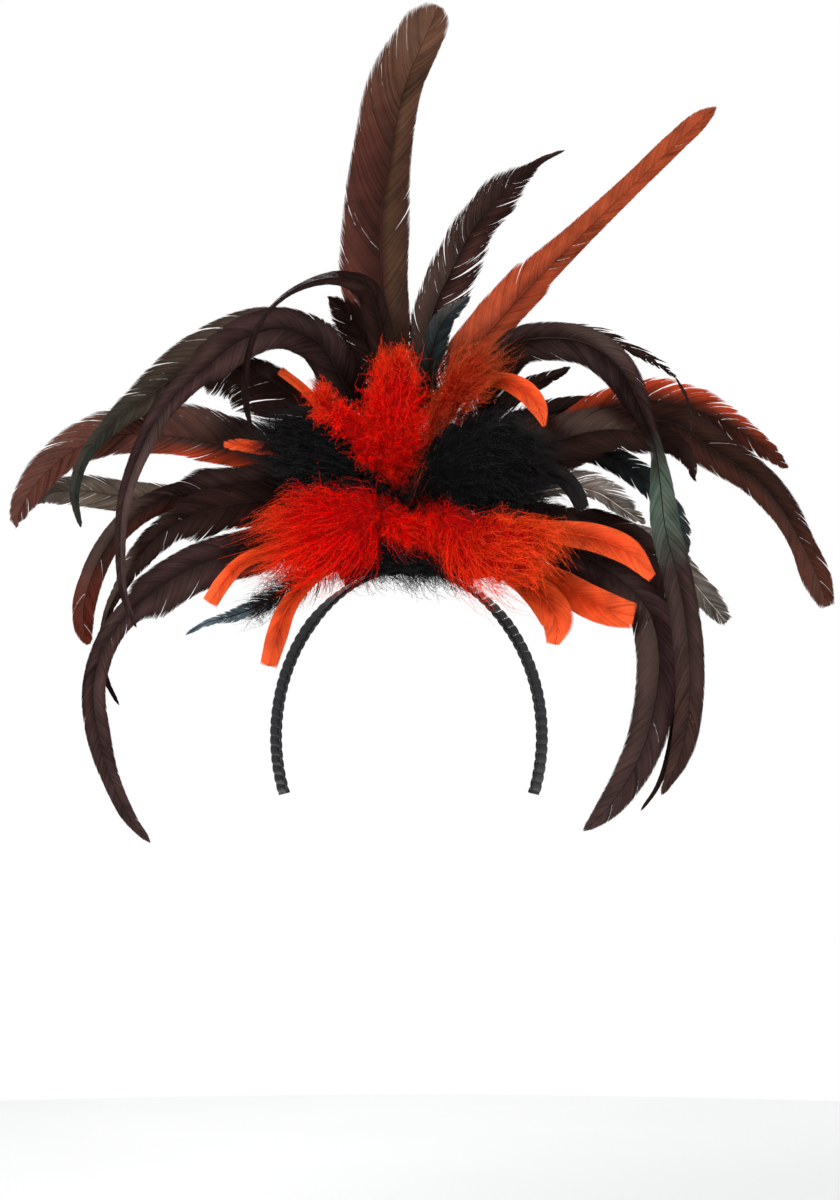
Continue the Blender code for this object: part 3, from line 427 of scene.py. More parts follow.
# How the vane of each kind of feather is made. "angle" is that of a barb to the shaft, "spacing"
# the step between barbs, "clump" how many barbs cling together, "gape" how far a clump's ends draw
# together, "ragged" how uneven the edge is, "loose" the share of barbs that stand free, "down" the
# length of the wispy foot, "tip" how far the last barbs reach past the shaft, "blunt" how squarely
# they end, "shaft" the colour of the shaft, "streaks" how much lighter and darker its streaks are.
Vane = namedtuple(
    "Vane", "finish angle spacing clump gape ragged loose down tip blunt shaft streaks", defaults=[0.17])
VANES = {
    "brown quill": Vane("brown_quill", 30, 0.45, 50, 0.05, 0.03, 0.003, 34, 16, 0.75, "brown", 0.13),
    "dark quill": Vane("dark_quill", 30, 0.50, 13, 0.14, 0.20, 0.02, 34, 6, 0.4, "dark"),
    "rust quill": Vane("rust_quill", 27, 0.45, 40, 0.02, 0.02, 0.003, 30, 8, 0.5, "rust", 0.10),
    "plum tail": Vane("plum_tail", 30, 0.45, 60, 0.03, 0.04, 0.003, 30, 7, 0.4, "dark"),
    "dark tail": Vane("dark_tail", 30, 0.48, 20, 0.22, 0.10, 0.02, 28, 6, 0.4, "dark"),
    "ragged tail": Vane("dark_tail", 27, 0.48, 9, 0.50, 0.24, 0.04, 30, 6, 0.4, "dark"),
    "olive tail": Vane("olive_tail", 30, 0.45, 60, 0.05, 0.05, 0.006, 34, 6, 0.4, "olive"),
    "green tail": Vane("green_tail", 30, 0.48, 14, 0.32, 0.16, 0.03, 20, 6, 0.4, "dark"),
    "red brown tail": Vane("red_brown_tail", 29, 0.45, 50, 0.05, 0.05, 0.006, 36, 10, 0.7, "brown"),
    "paddle tail": Vane("paddle_tail", 30, 0.45, 60, 0.03, 0.04, 0.003, 30, 8, 0.8, "dark"),
    "flame tail": Vane("flame_tail", 28, 0.45, 40, 0.14, 0.06, 0.008, 22, 8, 0.4, "brown"),
    "green arch": Vane("green_arch", 26, 0.45, 60, 0.03, 0.04, 0.003, 30, 7, 0.5, "dark"),
    "rust tail": Vane("rust_tail", 29, 0.46, 22, 0.34, 0.10, 0.02, 34, 6, 0.4, "dark"),
    "pale ragged tail": Vane("gray_tail", 30, 0.55, 8, 0.60, 0.26, 0.10, 34, 8, 0.4, "horn", 0.26),
    "striped tail": Vane("striped_tail", 27, 0.45, 12, 0.30, 0.06, 0.01, 30, 6, 0.4, "olive"),
    "blue black tail": Vane("blue_black_tail", 28, 0.48, 10, 0.40, 0.34, 0.12, 60, 6, 0.4, "dark"),
    "gray tail": Vane("gray_tail", 30, 0.50, 14, 0.34, 0.12, 0.02, 30, 8, 0.8, "horn", 0.30),
    "thin tail": Vane("dark_tail", 24, 0.45, 60, 0.02, 0.04, 0.00, 12, 6, 0.4, "dark"),
    "thread": Vane("dark_tail", 13, 2.20, 1, 0.00, 0.85, 0.00, 0, 6, 0.4, "dark"),
    "trimmed orange": Vane("trimmed_orange", 24, 0.45, 90, 0.01, 0.01, 0.00, 0, 2, 0.9, "orange", 0.05),
    "ragged orange": Vane("trimmed_orange", 24, 0.50, 10, 0.30, 0.20, 0.10, 12, 6, 0.4, "orange", 0.08),
    "trimmed black": Vane("trimmed_black", 24, 0.45, 90, 0.01, 0.01, 0.00, 0, 2, 0.9, "dark"),
}

# For each kind of down: fibres for each square mm, the share of long wisps, fibres in a lock, how
# far they sweep, stray, curl and droop, half the width of a fibre, the number, length and width of
# its side hairs, the colours from the heart to the tips of the fibres, the colour that the end of
# the plume fades to, from where along the plume, and how far, and the dye
Fluff = namedtuple(
    "Fluff", "density wisps per_lock sweep fuzz curl droop rib hairs hair hair_width colours end "
    "end_from end_share dye")
FLUFF = {
    "red_fluff": Fluff(
        0.38, 0.28, 9, 0.55, 4.2, 2.6, 1.4, 0.18, 14, 2.0, 0.14,
        [(0.0, "b40000"), (0.45, "e20100"), (0.82, "dc0e03"), (1.0, "b43618")],
        "c8481c", 0.68, 0.55, "red_down"),
    "orange_fluff": Fluff(
        0.42, 0.34, 9, 1.0, 4.0, 2.2, 1.0, 0.14, 16, 2.0, 0.11,
        [(0.0, "a00c00"), (0.45, "c42406"), (0.80, "b83c16"), (1.0, "8a4426")],
        "8e4628", 0.60, 0.55, "orange_down"),
    "black_fluff": Fluff(
        0.38, 0.28, 9, 0.6, 4.8, 2.4, 1.0, 0.15, 16, 2.0, 0.11,
        [(0.0, "070707"), (0.45, "121213"), (0.80, "1c1c1e"), (1.0, "2a2a2d")],
        "1c1615", 0.60, 0.55, "black_down"),
    "tail_down": Fluff(
        0.0, 0.30, 6, 0.9, 2.6, 1.8, 0.5, 0.09, 11, 2.3, 0.14,
        [(0.0, "120b0b"), (0.45, "1c1212"), (0.80, "241817"), (1.0, "2c1f1d")],
        "1c1212", 0.60, 0.55, "dark_feather"),
}
FLUFF["fading_red_fluff"] = FLUFF["red_fluff"]._replace(end="dc4a1a", end_from=0.30, end_share=0.85)

# The dyes whose colour a user may change, with the first colour of each, as it shows on most of
# what it dyes
Dye = namedtuple("Dye", "label description code")
DYES = {
    "red_down": Dye("Red Down", "Bright part of the red down", "e20401"),
    "orange_down": Dye("Orange Down", "Middle of the orange-red down", "c42406"),
    "black_down": Dye("Black Down", "Middle of the black down", "121213"),
    "dark_feather": Dye("Dark Feathers", "Plum and black tail feathers", "342323"),
    "brown_feather": Dye("Brown Feathers", "Brown quill and red-brown tail feathers", "401e19"),
    "rust_feather": Dye("Rust Feathers", "Rust quill and rust-edged tail feather", "9a3f24"),
    "olive_feather": Dye("Olive Feathers", "Olive tail feathers", "40352a"),
    "gray_feather": Dye("Gray Feathers", "Gray tail feathers", "7e736b"),
    "orange_flat": Dye("Orange Flats", "Trimmed orange feathers", "c63d18"),
    "ribbon": Dye("Ribbon", "Satin ribbon on the band", "0a0a0d"),
    "felt": Dye("Felt", "Felt of the backing", "1e1e20"),
    "floor": Dye("Floor", "Paint of the studio floor", "f8f8f7"),
}

# For each finish of a vane: its dye, five colours from the left edge over the shaft to the right
# edge, the places of the middle three from 0 to 1, the colour of the tip and where it starts, the
# dark of the foot, the roughness, and a band of another colour: where along the shaft it starts, is
# fullest and ends. Where the middle of a vane is lighter than its edge and the shaft, that is partly
# the feather's own colour and partly a painted highlight. The only band, on the green arch, is a
# painted green sheen.
VaneLook = namedtuple("VaneLook", "dye colours places tip tip_from foot rough band", defaults=[None])
VANE_LOOKS = {
    "brown_quill": VaneLook(
        "brown_feather", "4a251d 401e19 2a1410 3f2b1f 341c16", (0.25, 0.50, 0.62),
        "4e3427", 0.80, "35150e", 0.46),
    "dark_quill": VaneLook(
        "dark_feather", "190c0a 261412 120908 331d1a 1a0d0b", (0.25, 0.50, 0.70),
        "1a0d0c", 0.75, "1a0e0d", 0.38),
    "rust_quill": VaneLook(
        "rust_feather", "93391f 9a3f24 642314 8f3820 7e2e18", (0.30, 0.50, 0.70),
        "86381f", 0.55, "8c3018", 0.55),
    "plum_tail": VaneLook(
        "dark_feather", "1e1212 342323 1c1111 312121 1d1111", (0.25, 0.50, 0.72),
        "312322", 0.82, "150b0b", 0.40),
    "dark_tail": VaneLook(
        "dark_feather", "150908 221210 120706 1f110f 140908", (0.25, 0.50, 0.70),
        "170a09", 0.80, "0e0606", 0.36),
    "olive_tail": VaneLook(
        "olive_feather", "2a211a 40352a 241a15 362c25 261d19", (0.25, 0.50, 0.70),
        "1c211d", 0.72, "180e0b", 0.42),
    "green_tail": VaneLook(
        "dark_feather", "0f1212 18201f 0b0d0d 161e1d 0e1112", (0.30, 0.50, 0.70),
        "1c2629", 0.70, "0b0c0c", 0.34),
    "blue_black_tail": VaneLook(
        "dark_feather", "151a1e 1f262b 0d0f11 1b2226 12161a", (0.30, 0.50, 0.70),
        "46545c", 0.62, "0b0c0c", 0.32),
    "striped_tail": VaneLook(
        "olive_feather", "3c322a 5a4c40 2b211b 4a3f36 2a221d", (0.25, 0.50, 0.70),
        "5c5148", 0.80, "1c110d", 0.40),
    "red_brown_tail": VaneLook(
        "brown_feather", "1e0f0d 28140f 120908 361c16 30170f", (0.28, 0.50, 0.72),
        "46241b", 0.88, "140a09", 0.44),
    "paddle_tail": VaneLook(
        "brown_feather", "3c1911 341914 150b0a 2a1c1a 1c100f", (0.25, 0.50, 0.72),
        "5a2318", 0.88, "140a09", 0.40),
    "flame_tail": VaneLook(
        "brown_feather", "c23c16 8c2e16 331f1d 1d0f0d 30211f", (0.22, 0.40, 0.52),
        "4c2a23", 0.50, "1c0f0d", 0.46),
    # Its band is a painted green sheen along the vane
    "green_arch": VaneLook(
        "dark_feather", "1d1211 302121 190f0e 2d2020 1b1010", (0.25, 0.50, 0.72),
        "31201d", 0.86, "140a09", 0.36, (0.48, 0.57, 0.68, "46544a")),
    "rust_tail": VaneLook(
        "rust_feather", "b03c20 963219 4a1d14 1f0e0b 27120e", (0.18, 0.36, 0.50),
        "3a1810", 0.86, "2a110d", 0.42),
    "gray_tail": VaneLook(
        "gray_feather", "6c625b 7e736b 4a403a 6a5f58 463e39", (0.30, 0.50, 0.70),
        "4e4843", 0.80, "2a211d", 0.40),
    "trimmed_orange": VaneLook(
        "orange_flat", "d04c22 c63d18 a82b0d c63d18 d24e24", (0.30, 0.50, 0.70),
        "d45128", 0.92, "a82406", 0.60),
    "trimmed_black": VaneLook(
        "dark_feather", "121214 1b1b1d 0f0f11 1a1a1c 121214", (0.30, 0.50, 0.70),
        "151518", 0.85, "0d0d0f", 0.38),
}

# The light and the dark of each shaft, and its roughness
SHAFT_LOOKS = {
    "dark": ("1a0e0c", "0c0605", 0.36),
    "brown": ("33190f", "1c0c08", 0.40),
    "rust": ("7c2c18", "521b10", 0.42),
    "olive": ("3a2c20", "1c1410", 0.40),
    "horn": ("d8ccbe", "8a7a6a", 0.40),
    "orange": ("d63c10", "b02806", 0.45),
}
KERATIN_TINT = "ffd8c4"

# Along a vane: where the colour of its foot ends, and how that of its tip starts about its place.
# Then how much smoother or rougher than its kind a barb may be.
FOOT_FADE = (0.10, 0.34)
TIP_FADE = (-0.12, 0.10)
ROUGH_SWAY = (-0.06, 0.08)

# How light a strand is: its own value and its patch's, added up, run over the first span while its
# colour's lightness is multiplied over the second
VANE_SHADES = ((0.45, 1.55), (0.40, 1.70))
DOWN_SHADES = ((0.35, 1.65), (0.45, 1.65))

# How fine each mottle is, in lumps to the metre: lumps of 11 mm on a vane, 6 mm on a shaft and 4 mm
# in down, creases of 2.4 mm in the ribbon, a tangle of 1 mm and clouds of 8 mm on the felt, and a
# haze of 330 mm on the floor
VANE_LUMPS = 90.0
SHAFT_LUMPS = 160.0
DOWN_LUMPS = 260.0
RIBBON_CREASES = 420.0
FELT_TANGLE = 900.0
FELT_CLOUDS = 120.0
FLOOR_HAZE = 3.0

# The studio, in metres and watts, with the lens and its sensor in mm. Each lamp has its place, what
# it looks at, its width and height, and its power.
FLOOR_RADIUS = 1.2
FLOOR_SIDES = 96
FLOOR_Z = -0.42
ROOM_LIGHT = 0.40
CAMERA_PLACE = (0.0062, -2.6, -0.0151)
CAMERA_LENS = 139.3
CAMERA_SENSOR = 36.0
STUDIO_LIGHTS = [
    ("key_softbox", (-0.9, -1.9, 1.3), (0.0, 0.0, 0.08), (1.1, 1.1), 58.0),
    ("fill_softbox", (1.4, -1.6, 0.5), (0.0, 0.0, 0.05), (1.0, 1.3), 16.0),
    ("back_softbox", (0.3, 1.5, 1.4), (0.0, 0.0, 0.10), (1.2, 0.8), 22.0),
]


def unit(vectors):
    """The vectors of an array, each at length 1."""
    size = np.linalg.norm(vectors, axis=-1, keepdims=True)
    return vectors / np.maximum(size, 1e-9)


def running_length(points):
    """How far along a line of points each of them lies."""
    steps = np.linalg.norm(np.diff(points, axis=0), axis=1)
    return np.concatenate([[0.0], np.cumsum(steps)])


def full_row(x, z, y, left, right=None, roll=0):
    """A row of a table with what it may leave out: a right width like the left one, and no roll."""
    return (x, z, y, left, left if right is None else right, roll)


def smooth_rows(rows):
    """A smooth curve through the rows of a table, with its running length."""
    table = np.array(rows, dtype=float)
    steps = np.linalg.norm(np.diff(table[:, :3], axis=0), axis=1)
    slope = np.gradient(table, running_length(table[:, :3]), axis=0)
    dense = []
    for i, step in enumerate(steps):
        for part in np.linspace(0.0, 1.0, CURVE_STEPS, endpoint=False):
            square = part * part
            cube = square * part
            dense.append(
                (2 * cube - 3 * square + 1) * table[i]
                + (cube - 2 * square + part) * step * slope[i]
                + (3 * square - 2 * cube) * table[i + 1]
                + (cube - square) * step * slope[i + 1]
            )
    dense = np.array(dense + [table[-1]])
    return dense, running_length(dense[:, :3])


def smooth_route(rows, stations):
    """The curve through the rows, read at even steps of its length."""
    dense, length = smooth_rows(rows)
    even = np.linspace(0.0, length[-1], stations + 1)
    return np.array([np.interp(even, length, column) for column in dense.T]).T


def lay_course(route):
    """Points, directions and widths along a route, so that they can be read at any length."""
    points = route[:, [0, 2, 1]]
    along = unit(np.gradient(points, axis=0))
    left = unit(np.cross(along, (0.0, 1.0, 0.0)))
    face = np.cross(along, left)
    roll = np.radians(route[:, 5:6])
    turned = left * np.cos(roll) + face * np.sin(roll)
    faced = np.cross(along, turned)
    at = running_length(points)
    return Course(at[-1], at, np.hstack([points, along, turned, faced, route[:, 3:5]]))


def read_course(course, at):
    """The point, the way on, the left side, the face and the two widths at lengths along a course."""
    held = np.clip(at, 0.0, course.length)
    table = np.stack([np.interp(held, course.at, column) for column in course.table.T], axis=-1)
    along = unit(table[..., 3:6])
    point = table[..., 0:3] + along * (at - held)[..., None]
    left = unit(table[..., 6:9])
    face = unit(table[..., 9:12])
    return Spot(point, along, left, face, table[..., WIDTHS], table[..., WIDTHS + 1])


def feather_course(feather):
    """The course of a feather: its quill on the backing, then its shaft through the table."""
    fan = math.radians(feather.fan)
    depth = feather.face * (FELT_THICKNESS / 2 + GAP + QUILL_RADIUS)
    rows = []
    for reach in (FAN_INNER, FAN_OUTER):
        x = reach * math.cos(fan)
        z = FAN_CENTRE_Z + reach * math.sin(fan)
        rows.append(full_row(x, z, depth, QUILL_RADIUS))
    rows += [full_row(*row) for row in feather.rows]
    _, length = smooth_rows(rows)
    route = smooth_route(rows, round(length[-1] / COURSE_STEP))
    route[:, 2] = feather.face * np.maximum(feather.face * route[:, 2], abs(depth))
    reach = np.hypot(route[:, 0], route[:, 1] - FAN_CENTRE_Z)
    route[:, 2] *= 1.0 + OPENING_GAIN * np.clip((reach - OPENING_FROM) / OPENING_RUN, 0.0, 1.0)
    return lay_course(route)


def place_object(name, data):
    """A new object of the scene."""
    obj = bpy.data.objects.new(name, data)
    bpy.context.scene.collection.objects.link(obj)
    return obj


def mesh_of(bm, name):
    """The mesh of a finished bmesh, which is then let go."""
    mesh = bpy.data.meshes.new(name)
    bm.to_mesh(mesh)
    bm.free()
    return mesh


def add_strands(name, blocks, materials):
    """One mesh object from blocks of like strands whose points are in mm."""
    points = []
    sizes = []
    corners = []
    uvs = []
    shades = []
    slots = []
    first = 0
    for block in blocks:
        count, per, _ = block.points.shape
        points.append(block.points.reshape(-1, 3))
        starts = first + np.arange(count) * per
        pattern = np.array(block.faces)
        corners.append((starts[:, None, None] + pattern[None, :, :]).reshape(-1))
        sizes.append(np.full(count * len(pattern), pattern.shape[1]))
        slots.append(np.full(count * len(pattern), block.material))
        uvs.append(block.uv[:, pattern, :].reshape(-1, 2))
        shades.append(np.repeat(block.strand, per))
        first += count * per
    points = np.concatenate(points) * MM
    corners = np.concatenate(corners).astype(np.int32)
    sizes = np.concatenate(sizes).astype(np.int32)
    mesh = bpy.data.meshes.new(name)
    mesh.vertices.add(len(points))
    mesh.vertices.foreach_set("co", points.astype(np.float32).ravel())
    mesh.loops.add(len(corners))
    mesh.loops.foreach_set("vertex_index", corners)
    mesh.polygons.add(len(sizes))
    mesh.polygons.foreach_set("loop_start", np.concatenate([[0], np.cumsum(sizes)[:-1]]))
    mesh.polygons.foreach_set("material_index", np.concatenate(slots).astype(np.int32))
    mesh.uv_layers.new(name="vane").uv.foreach_set("vector", np.concatenate(uvs).ravel())
    shade = mesh.attributes.new("strand", "FLOAT", "POINT")
    shade.data.foreach_set("value", np.concatenate(shades).astype(np.float32))
    mesh.update(calc_edges=True)
    mesh.shade_smooth()
    for material in materials:
        mesh.materials.append(material)
    return place_object(name, mesh)


def lay_ribbons(middle, across, half, uv_u, uv_v, strand):
    """A block of ribbons from their middle lines, the way across, the half widths and the UV."""
    edges = np.stack([middle + across * half[..., None], middle - across * half[..., None]], axis=2)
    uv = np.repeat(np.stack([uv_u, uv_v], axis=-1), 2, axis=1)
    faces = [(2 * i, 2 * i + 1, 2 * i + 3, 2 * i + 2) for i in range(middle.shape[1] - 1)]
    return Block(edges.reshape(len(middle), -1, 3), faces, uv, strand, 0)


def last_root(course, vane):
    """How far along the shaft the last barb stands."""
    return course.length - (1.0 - vane.blunt) * vane.tip


def root_barbs(course, vane, sizes, draw):
    """Where the barbs of one side stand along the shaft, in clumps, and at what angle."""
    spacing = vane.spacing * sizes.barb_spacing
    root = np.arange(FIRST_BARB, last_root(course, vane), spacing)
    root += draw.uniform(-ROOT_JITTER, ROOT_JITTER, len(root)) * spacing
    count = len(root)
    in_clump = draw.gamma(CLUMP_EVENNESS, vane.clump / CLUMP_EVENNESS, count + 1).astype(int)
    clump = np.repeat(np.arange(count + 1), np.maximum(in_clump, 1))[:count]
    downy = np.clip(1.0 - (root - FIRST_BARB) / max(vane.down, LEAST_DOWN), 0.0, 1.0)
    angle = vane.angle * (ANGLE_AT_FOOT - ANGLE_CLOSING * (root / course.length))
    angle = angle * (1.0 + draw.normal(0.0, CLUMP_SWAY * vane.ragged, clump[-1] + 1)[clump])
    sway = draw.normal(0.0, BARB_SWAY + DOWN_SWAY * downy, count)
    angle = angle * (1.0 + DOWN_OPENING * downy) * (1.0 + sway)
    loose = draw.random(count) < vane.loose
    angle[loose] *= draw.uniform(*LOOSE_TURNS, loose.sum())
    return Barbs(root, clump, downy, loose, angle, spacing)


def meet_outline(course, widths, barbs, vane):
    """How far on, and how far out, each barb goes before it meets the outline."""
    root = barbs.root
    slope = np.tan(np.radians(np.clip(barbs.angle, *BARB_ANGLES)))
    samples = np.linspace(0.0, course.length, OUTLINE_SAMPLES)
    outline = np.interp(samples, course.at, widths)
    climb = (samples[None, :] - root[:, None]) * slope[:, None]
    met = (climb >= outline[None, :]) & (samples[None, :] > root[:, None])
    run = np.where(met.any(axis=1), samples[met.argmax(axis=1)], course.length) - root
    left = np.clip((last_root(course, vane) - root) / vane.tip, 0.0, 1.0)
    least = vane.tip * (1.0 - vane.blunt * (1.0 - left))
    reach = run * slope * left ** TIP_ROUNDING
    return np.maximum(run, least), np.maximum(reach, LEAST_REACH)


def trim_barbs(course, feather, side, barbs, draw):
    """How far on, and how far out, each barb goes once it is trimmed: ragged, and long in the foot."""
    vane = VANES[feather.kind]
    column = 0 if side > 0 else 1
    ahead = np.clip((course.at - BROAD_FROM) / BROAD_RUN, 0.0, 1.0)
    behind = np.clip((BROAD_TO * course.length - course.at) / BROAD_RUN, 0.0, 1.0)
    widths = np.maximum(course.table[:, WIDTHS + column], feather.foot[column] * ahead * behind)
    run, reach = meet_outline(course, widths, barbs, vane)
    count = len(barbs.root)
    by_clump = CLUMP_TRIM * draw.random(barbs.clump[-1] + 1)[barbs.clump]
    trim = 1.0 - vane.ragged * (by_clump + BARB_TRIM * draw.random(count) ** 2)
    trim *= 1.0 + WISP_REACH * (barbs.downy ** 0.5 * draw.random(count))
    trim = np.maximum(trim, SHORTEST_BARB)
    return run * trim, reach * trim


def shade_barbs(clump, vane, draw):
    """The shade of each barb: its own, its clump's, and a streak's that it shares with the next."""
    count = len(clump)
    noise = draw.normal(0.0, 1.0, count + STREAK - 1)
    streak = np.convolve(noise, np.ones(STREAK) / STREAK ** 0.5, "valid")
    shade = MIDDLE_SHADE + SHADE_SWAY * draw.normal(0.0, 1.0, count)
    shade = shade + SHADE_SWAY * draw.normal(0.0, 1.0, clump[-1] + 1)[clump]
    return np.clip(shade + vane.streaks * streak, 0.0, 1.0)


def lay_vane(course, feather, side, sizes, draw):
    """The barbs of one side of a feather, as ribbons that overlap like shingles."""
    vane = VANES[feather.kind]
    barbs = root_barbs(course, vane, sizes, draw)
    root, clump, downy, loose, angle, spacing = barbs
    count = len(root)
    clumps = clump[-1] + 1
    run, reach = trim_barbs(course, feather, side, barbs, draw)

    u = np.linspace(0.0, 1.0, BARB_STEPS + 1)[None, :]
    out = reach[:, None] * (1.0 - (1.0 - u) ** OUT_BOW)
    on = run[:, None] * u ** ON_BOW
    gape = vane.gape * draw.uniform(*GAPES, clumps)[clump]
    centre = np.bincount(clump, root) / np.maximum(np.bincount(clump), 1)
    on = on + ((centre[clump] - root) * gape)[:, None] * u ** GAPE_RISE
    for where, split_side, opening in feather.splits:
        if split_side == side:
            away = root - where * course.length
            push = np.sign(away) * 0.5 * opening * np.exp(-np.abs(away) / (SPLIT_RUN * opening))
            on = on + push[:, None] * u ** SPLIT_RISE
    lift = draw.normal(0.0, CLUMP_LIFT, clumps)[clump]
    lift = lift + draw.normal(0.0, BARB_LIFT + DOWN_LIFT * downy, count)
    lift[loose] += draw.normal(0.0, LOOSE_LIFT, loose.sum())
    rise = lift[:, None] * u ** LIFT_RISE - BLADE_CUP * out ** 2 / np.maximum(reach, 1.0)[:, None]

    spot = read_course(course, root[:, None] + on)
    middle = spot.point + spot.left * (side * out)[..., None] + spot.face * rise[..., None]
    across = unit(np.cross(unit(np.gradient(middle, axis=1)), spot.face)) * side
    tilt = np.radians(BARB_TILT + draw.normal(0.0, TILT_SWAY, count))[:, None, None]
    across = across * np.cos(tilt) + spot.face * np.sin(tilt)
    half = 0.5 * spacing * np.sin(np.radians(angle)) * sizes.barb_cover
    half = np.minimum(half, BARB_HALF_LIMIT) * (1.0 - DOWN_THINNING * downy ** DOWN_THINNING_POWER)
    half[loose] *= LOOSE_WIDTH
    taper = np.clip((POINT_END - u) / POINT_RUN, POINT_WIDTH, 1.0) * (1.0 + ROOT_COVER * (1.0 - u) ** 4)
    strand = shade_barbs(clump, vane, draw)
    uv_u = np.broadcast_to(side * u, on.shape)
    uv_v = (root[:, None] + on) / course.length
    return lay_ribbons(middle, across, half[:, None] * taper, uv_u, uv_v, strand)


def extrude_rings(rings):
    """Extrude a section through its rings, closed at both ends."""
    bm = bmesh.new()
    first = [bm.verts.new(point) for point in rings[0]]
    face = bm.faces.new(first)
    for ring in rings[1:]:
        face = bmesh.ops.extrude_discrete_faces(bm, faces=[face])["faces"][0]
        for vert, point in zip(face.verts, ring):
            vert.co = point
    bmesh.ops.holes_fill(bm, edges=bm.edges, sides=len(first))
    bmesh.ops.recalc_face_normals(bm, faces=bm.faces)
    return bm


def draw_shaft(course, vane):
    """The shaft of a feather, a thin cone from the quill to the tip."""
    end = last_root(course, vane)
    stations = np.linspace(0.0, end, max(round(end / SHAFT_STEP), FEWEST_SHAFT_RINGS))
    spot = read_course(course, stations)
    rings = []
    for i, at in enumerate(stations):
        share = max(at - (FAN_OUTER - FAN_INNER), 0.0) / course.length
        radius = SHAFT_TIP_RADIUS + (QUILL_RADIUS - SHAFT_TIP_RADIUS) * (1.0 - share) ** SHAFT_TAPER
        ring = []
        for side in range(SHAFT_SIDES):
            turn = 2.0 * math.pi * side / SHAFT_SIDES
            offset = spot.left[i] * math.cos(turn) + spot.face[i] * math.sin(turn)
            ring.append(Vector((spot.point[i] + offset * radius) * MM))
        rings.append(ring)
    return extrude_rings(rings)


def join_solid(obj, bm, material):
    """Add a closed mesh to an object made of strands, with a material of its own."""
    index = len(obj.data.materials)
    obj.data.materials.append(material)
    for face in bm.faces:
        face.material_index = index
        face.smooth = True
    solid = mesh_of(bm, "solid")
    both = bmesh.new()
    both.from_mesh(obj.data)
    both.from_mesh(solid)
    both.to_mesh(obj.data)
    both.free()
    bpy.data.meshes.remove(solid)


def settle(obj, node):
    """Let a finished piece stand for its node, on the one body, with the node's CAD part hidden."""
    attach(obj, "root")
    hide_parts(node)


def foot_course(feather, course):
    """The foot of a feather's course, with the spread of its down, and how thick that grows."""
    foot = WISPY_FEET.get(feather.name, PLAIN_FOOT)
    kept = (course.at >= foot.start) & (course.at <= foot.end)
    table = course.table[kept].copy()
    swell = np.sin(np.linspace(*FOOT_SWELL, len(table)) * math.pi)
    table[:, WIDTHS] = foot.spread * swell
    table[:, WIDTHS + 1] = foot.depth * swell
    at = course.at[kept] - course.at[kept][0]
    return Course(at[-1], at, table), foot.thick


def make_feather(feather, sizes, colours):
    """One feather: two vanes of barbs on a shaft, with a downy foot."""
    vane = VANES[feather.kind]
    draw = np.random.default_rng(sum(feather.name.encode()))
    course = feather_course(feather)
    blocks = [lay_vane(course, feather, side, sizes, draw) for side in (1, -1)]
    finishes = [vane_finish(vane.finish, colours)]
    if vane.down > 0:
        foot, thick = foot_course(feather, course)
        count = int(foot.length * FOOT_FIBRES_PER_MM * thick)
        for block in lay_fluff(foot, count, FLUFF["tail_down"], FOOT_SPREAD_OF_DOWN, draw):
            blocks.append(block._replace(material=1))
        finishes.append(fluff_finish("tail_down", colours))
    obj = add_strands(feather.name + "_piece", blocks, finishes)
    join_solid(obj, draw_shaft(course, vane), shaft_finish(vane.shaft))
    settle(obj, feather.name)


def plume_courses(plume):
    """The courses of a plume's stem, of its fluffy head, and of both in one."""
    x, z = plume.seat
    head = [full_row(*row) for row in plume.rows]
    lead_x = x + STEM_LEAN * (head[0][0] - x)
    lead_z = z + STEM_LEAN * (head[0][1] - z)
    stem = [
        full_row(x, z, -(FELT_THICKNESS / 2 + 2 * GAP), STEM_RADIUS),
        full_row(lead_x, lead_z, -STEM_FRONT, STEM_RADIUS),
    ]
    stem_route = smooth_route(stem + head[:1], STEM_STATIONS)
    head_route = smooth_route(head, HEAD_STATIONS)
    whole = np.vstack([stem_route[:-1], head_route])
    stem_down = plume.spread.stem * np.linspace(1.0, 0.0, len(whole))
    whole[:, 3:5] = np.maximum(whole[:, 3:5], stem_down[:, None])
    return lay_course(stem_route), lay_course(head_route), lay_course(whole)


def side_hairs(middle, tangent, along, wisp, look, strand, draw):
    """Fine triangular hairs on both sides of each fibre, short at its ends."""
    count = len(middle)
    hairs = look.hairs
    at = np.linspace(*HAIRS_ALONG, hairs)
    place = at * FIBRE_STEPS
    low = np.minimum(place.astype(int), FIBRE_STEPS - 1)
    part = (place - low)[None, :, None]
    foot = middle[:, low] * (1.0 - part) + middle[:, low + 1] * part
    way = tangent[:, low]
    side = unit(np.cross(way, draw.normal(0.0, 1.0, (count, hairs, 3))))
    length = look.hair * (HAIR_AT_ENDS + HAIR_GAIN * np.sin(math.pi * at) ** HAIR_SWELL)[None, :, None]
    length = length * draw.uniform(*HAIR_LENGTHS, (count, hairs, 1))
    length = length * (1.0 - BARE_WISP * wisp[:, None, None] * (at > BARE_WISP_FROM)[None, :, None])
    tip = foot + (side * HAIR_OUT + way * draw.uniform(*HAIR_ON, (count, hairs, 1))) * length
    hair = np.stack([foot - way * look.hair_width, foot + way * look.hair_width, tip], axis=2)
    hair_u = np.stack([at, at, np.minimum(at + HAIR_FADE, 1.0)], axis=-1).reshape(-1)
    uv = np.stack(np.broadcast_arrays(hair_u[None, :], along[:, None]), axis=-1)
    triangles = [(3 * i, 3 * i + 1, 3 * i + 2) for i in range(hairs)]
    return Block(hair.reshape(count, -1, 3), triangles, uv, strand, 0)


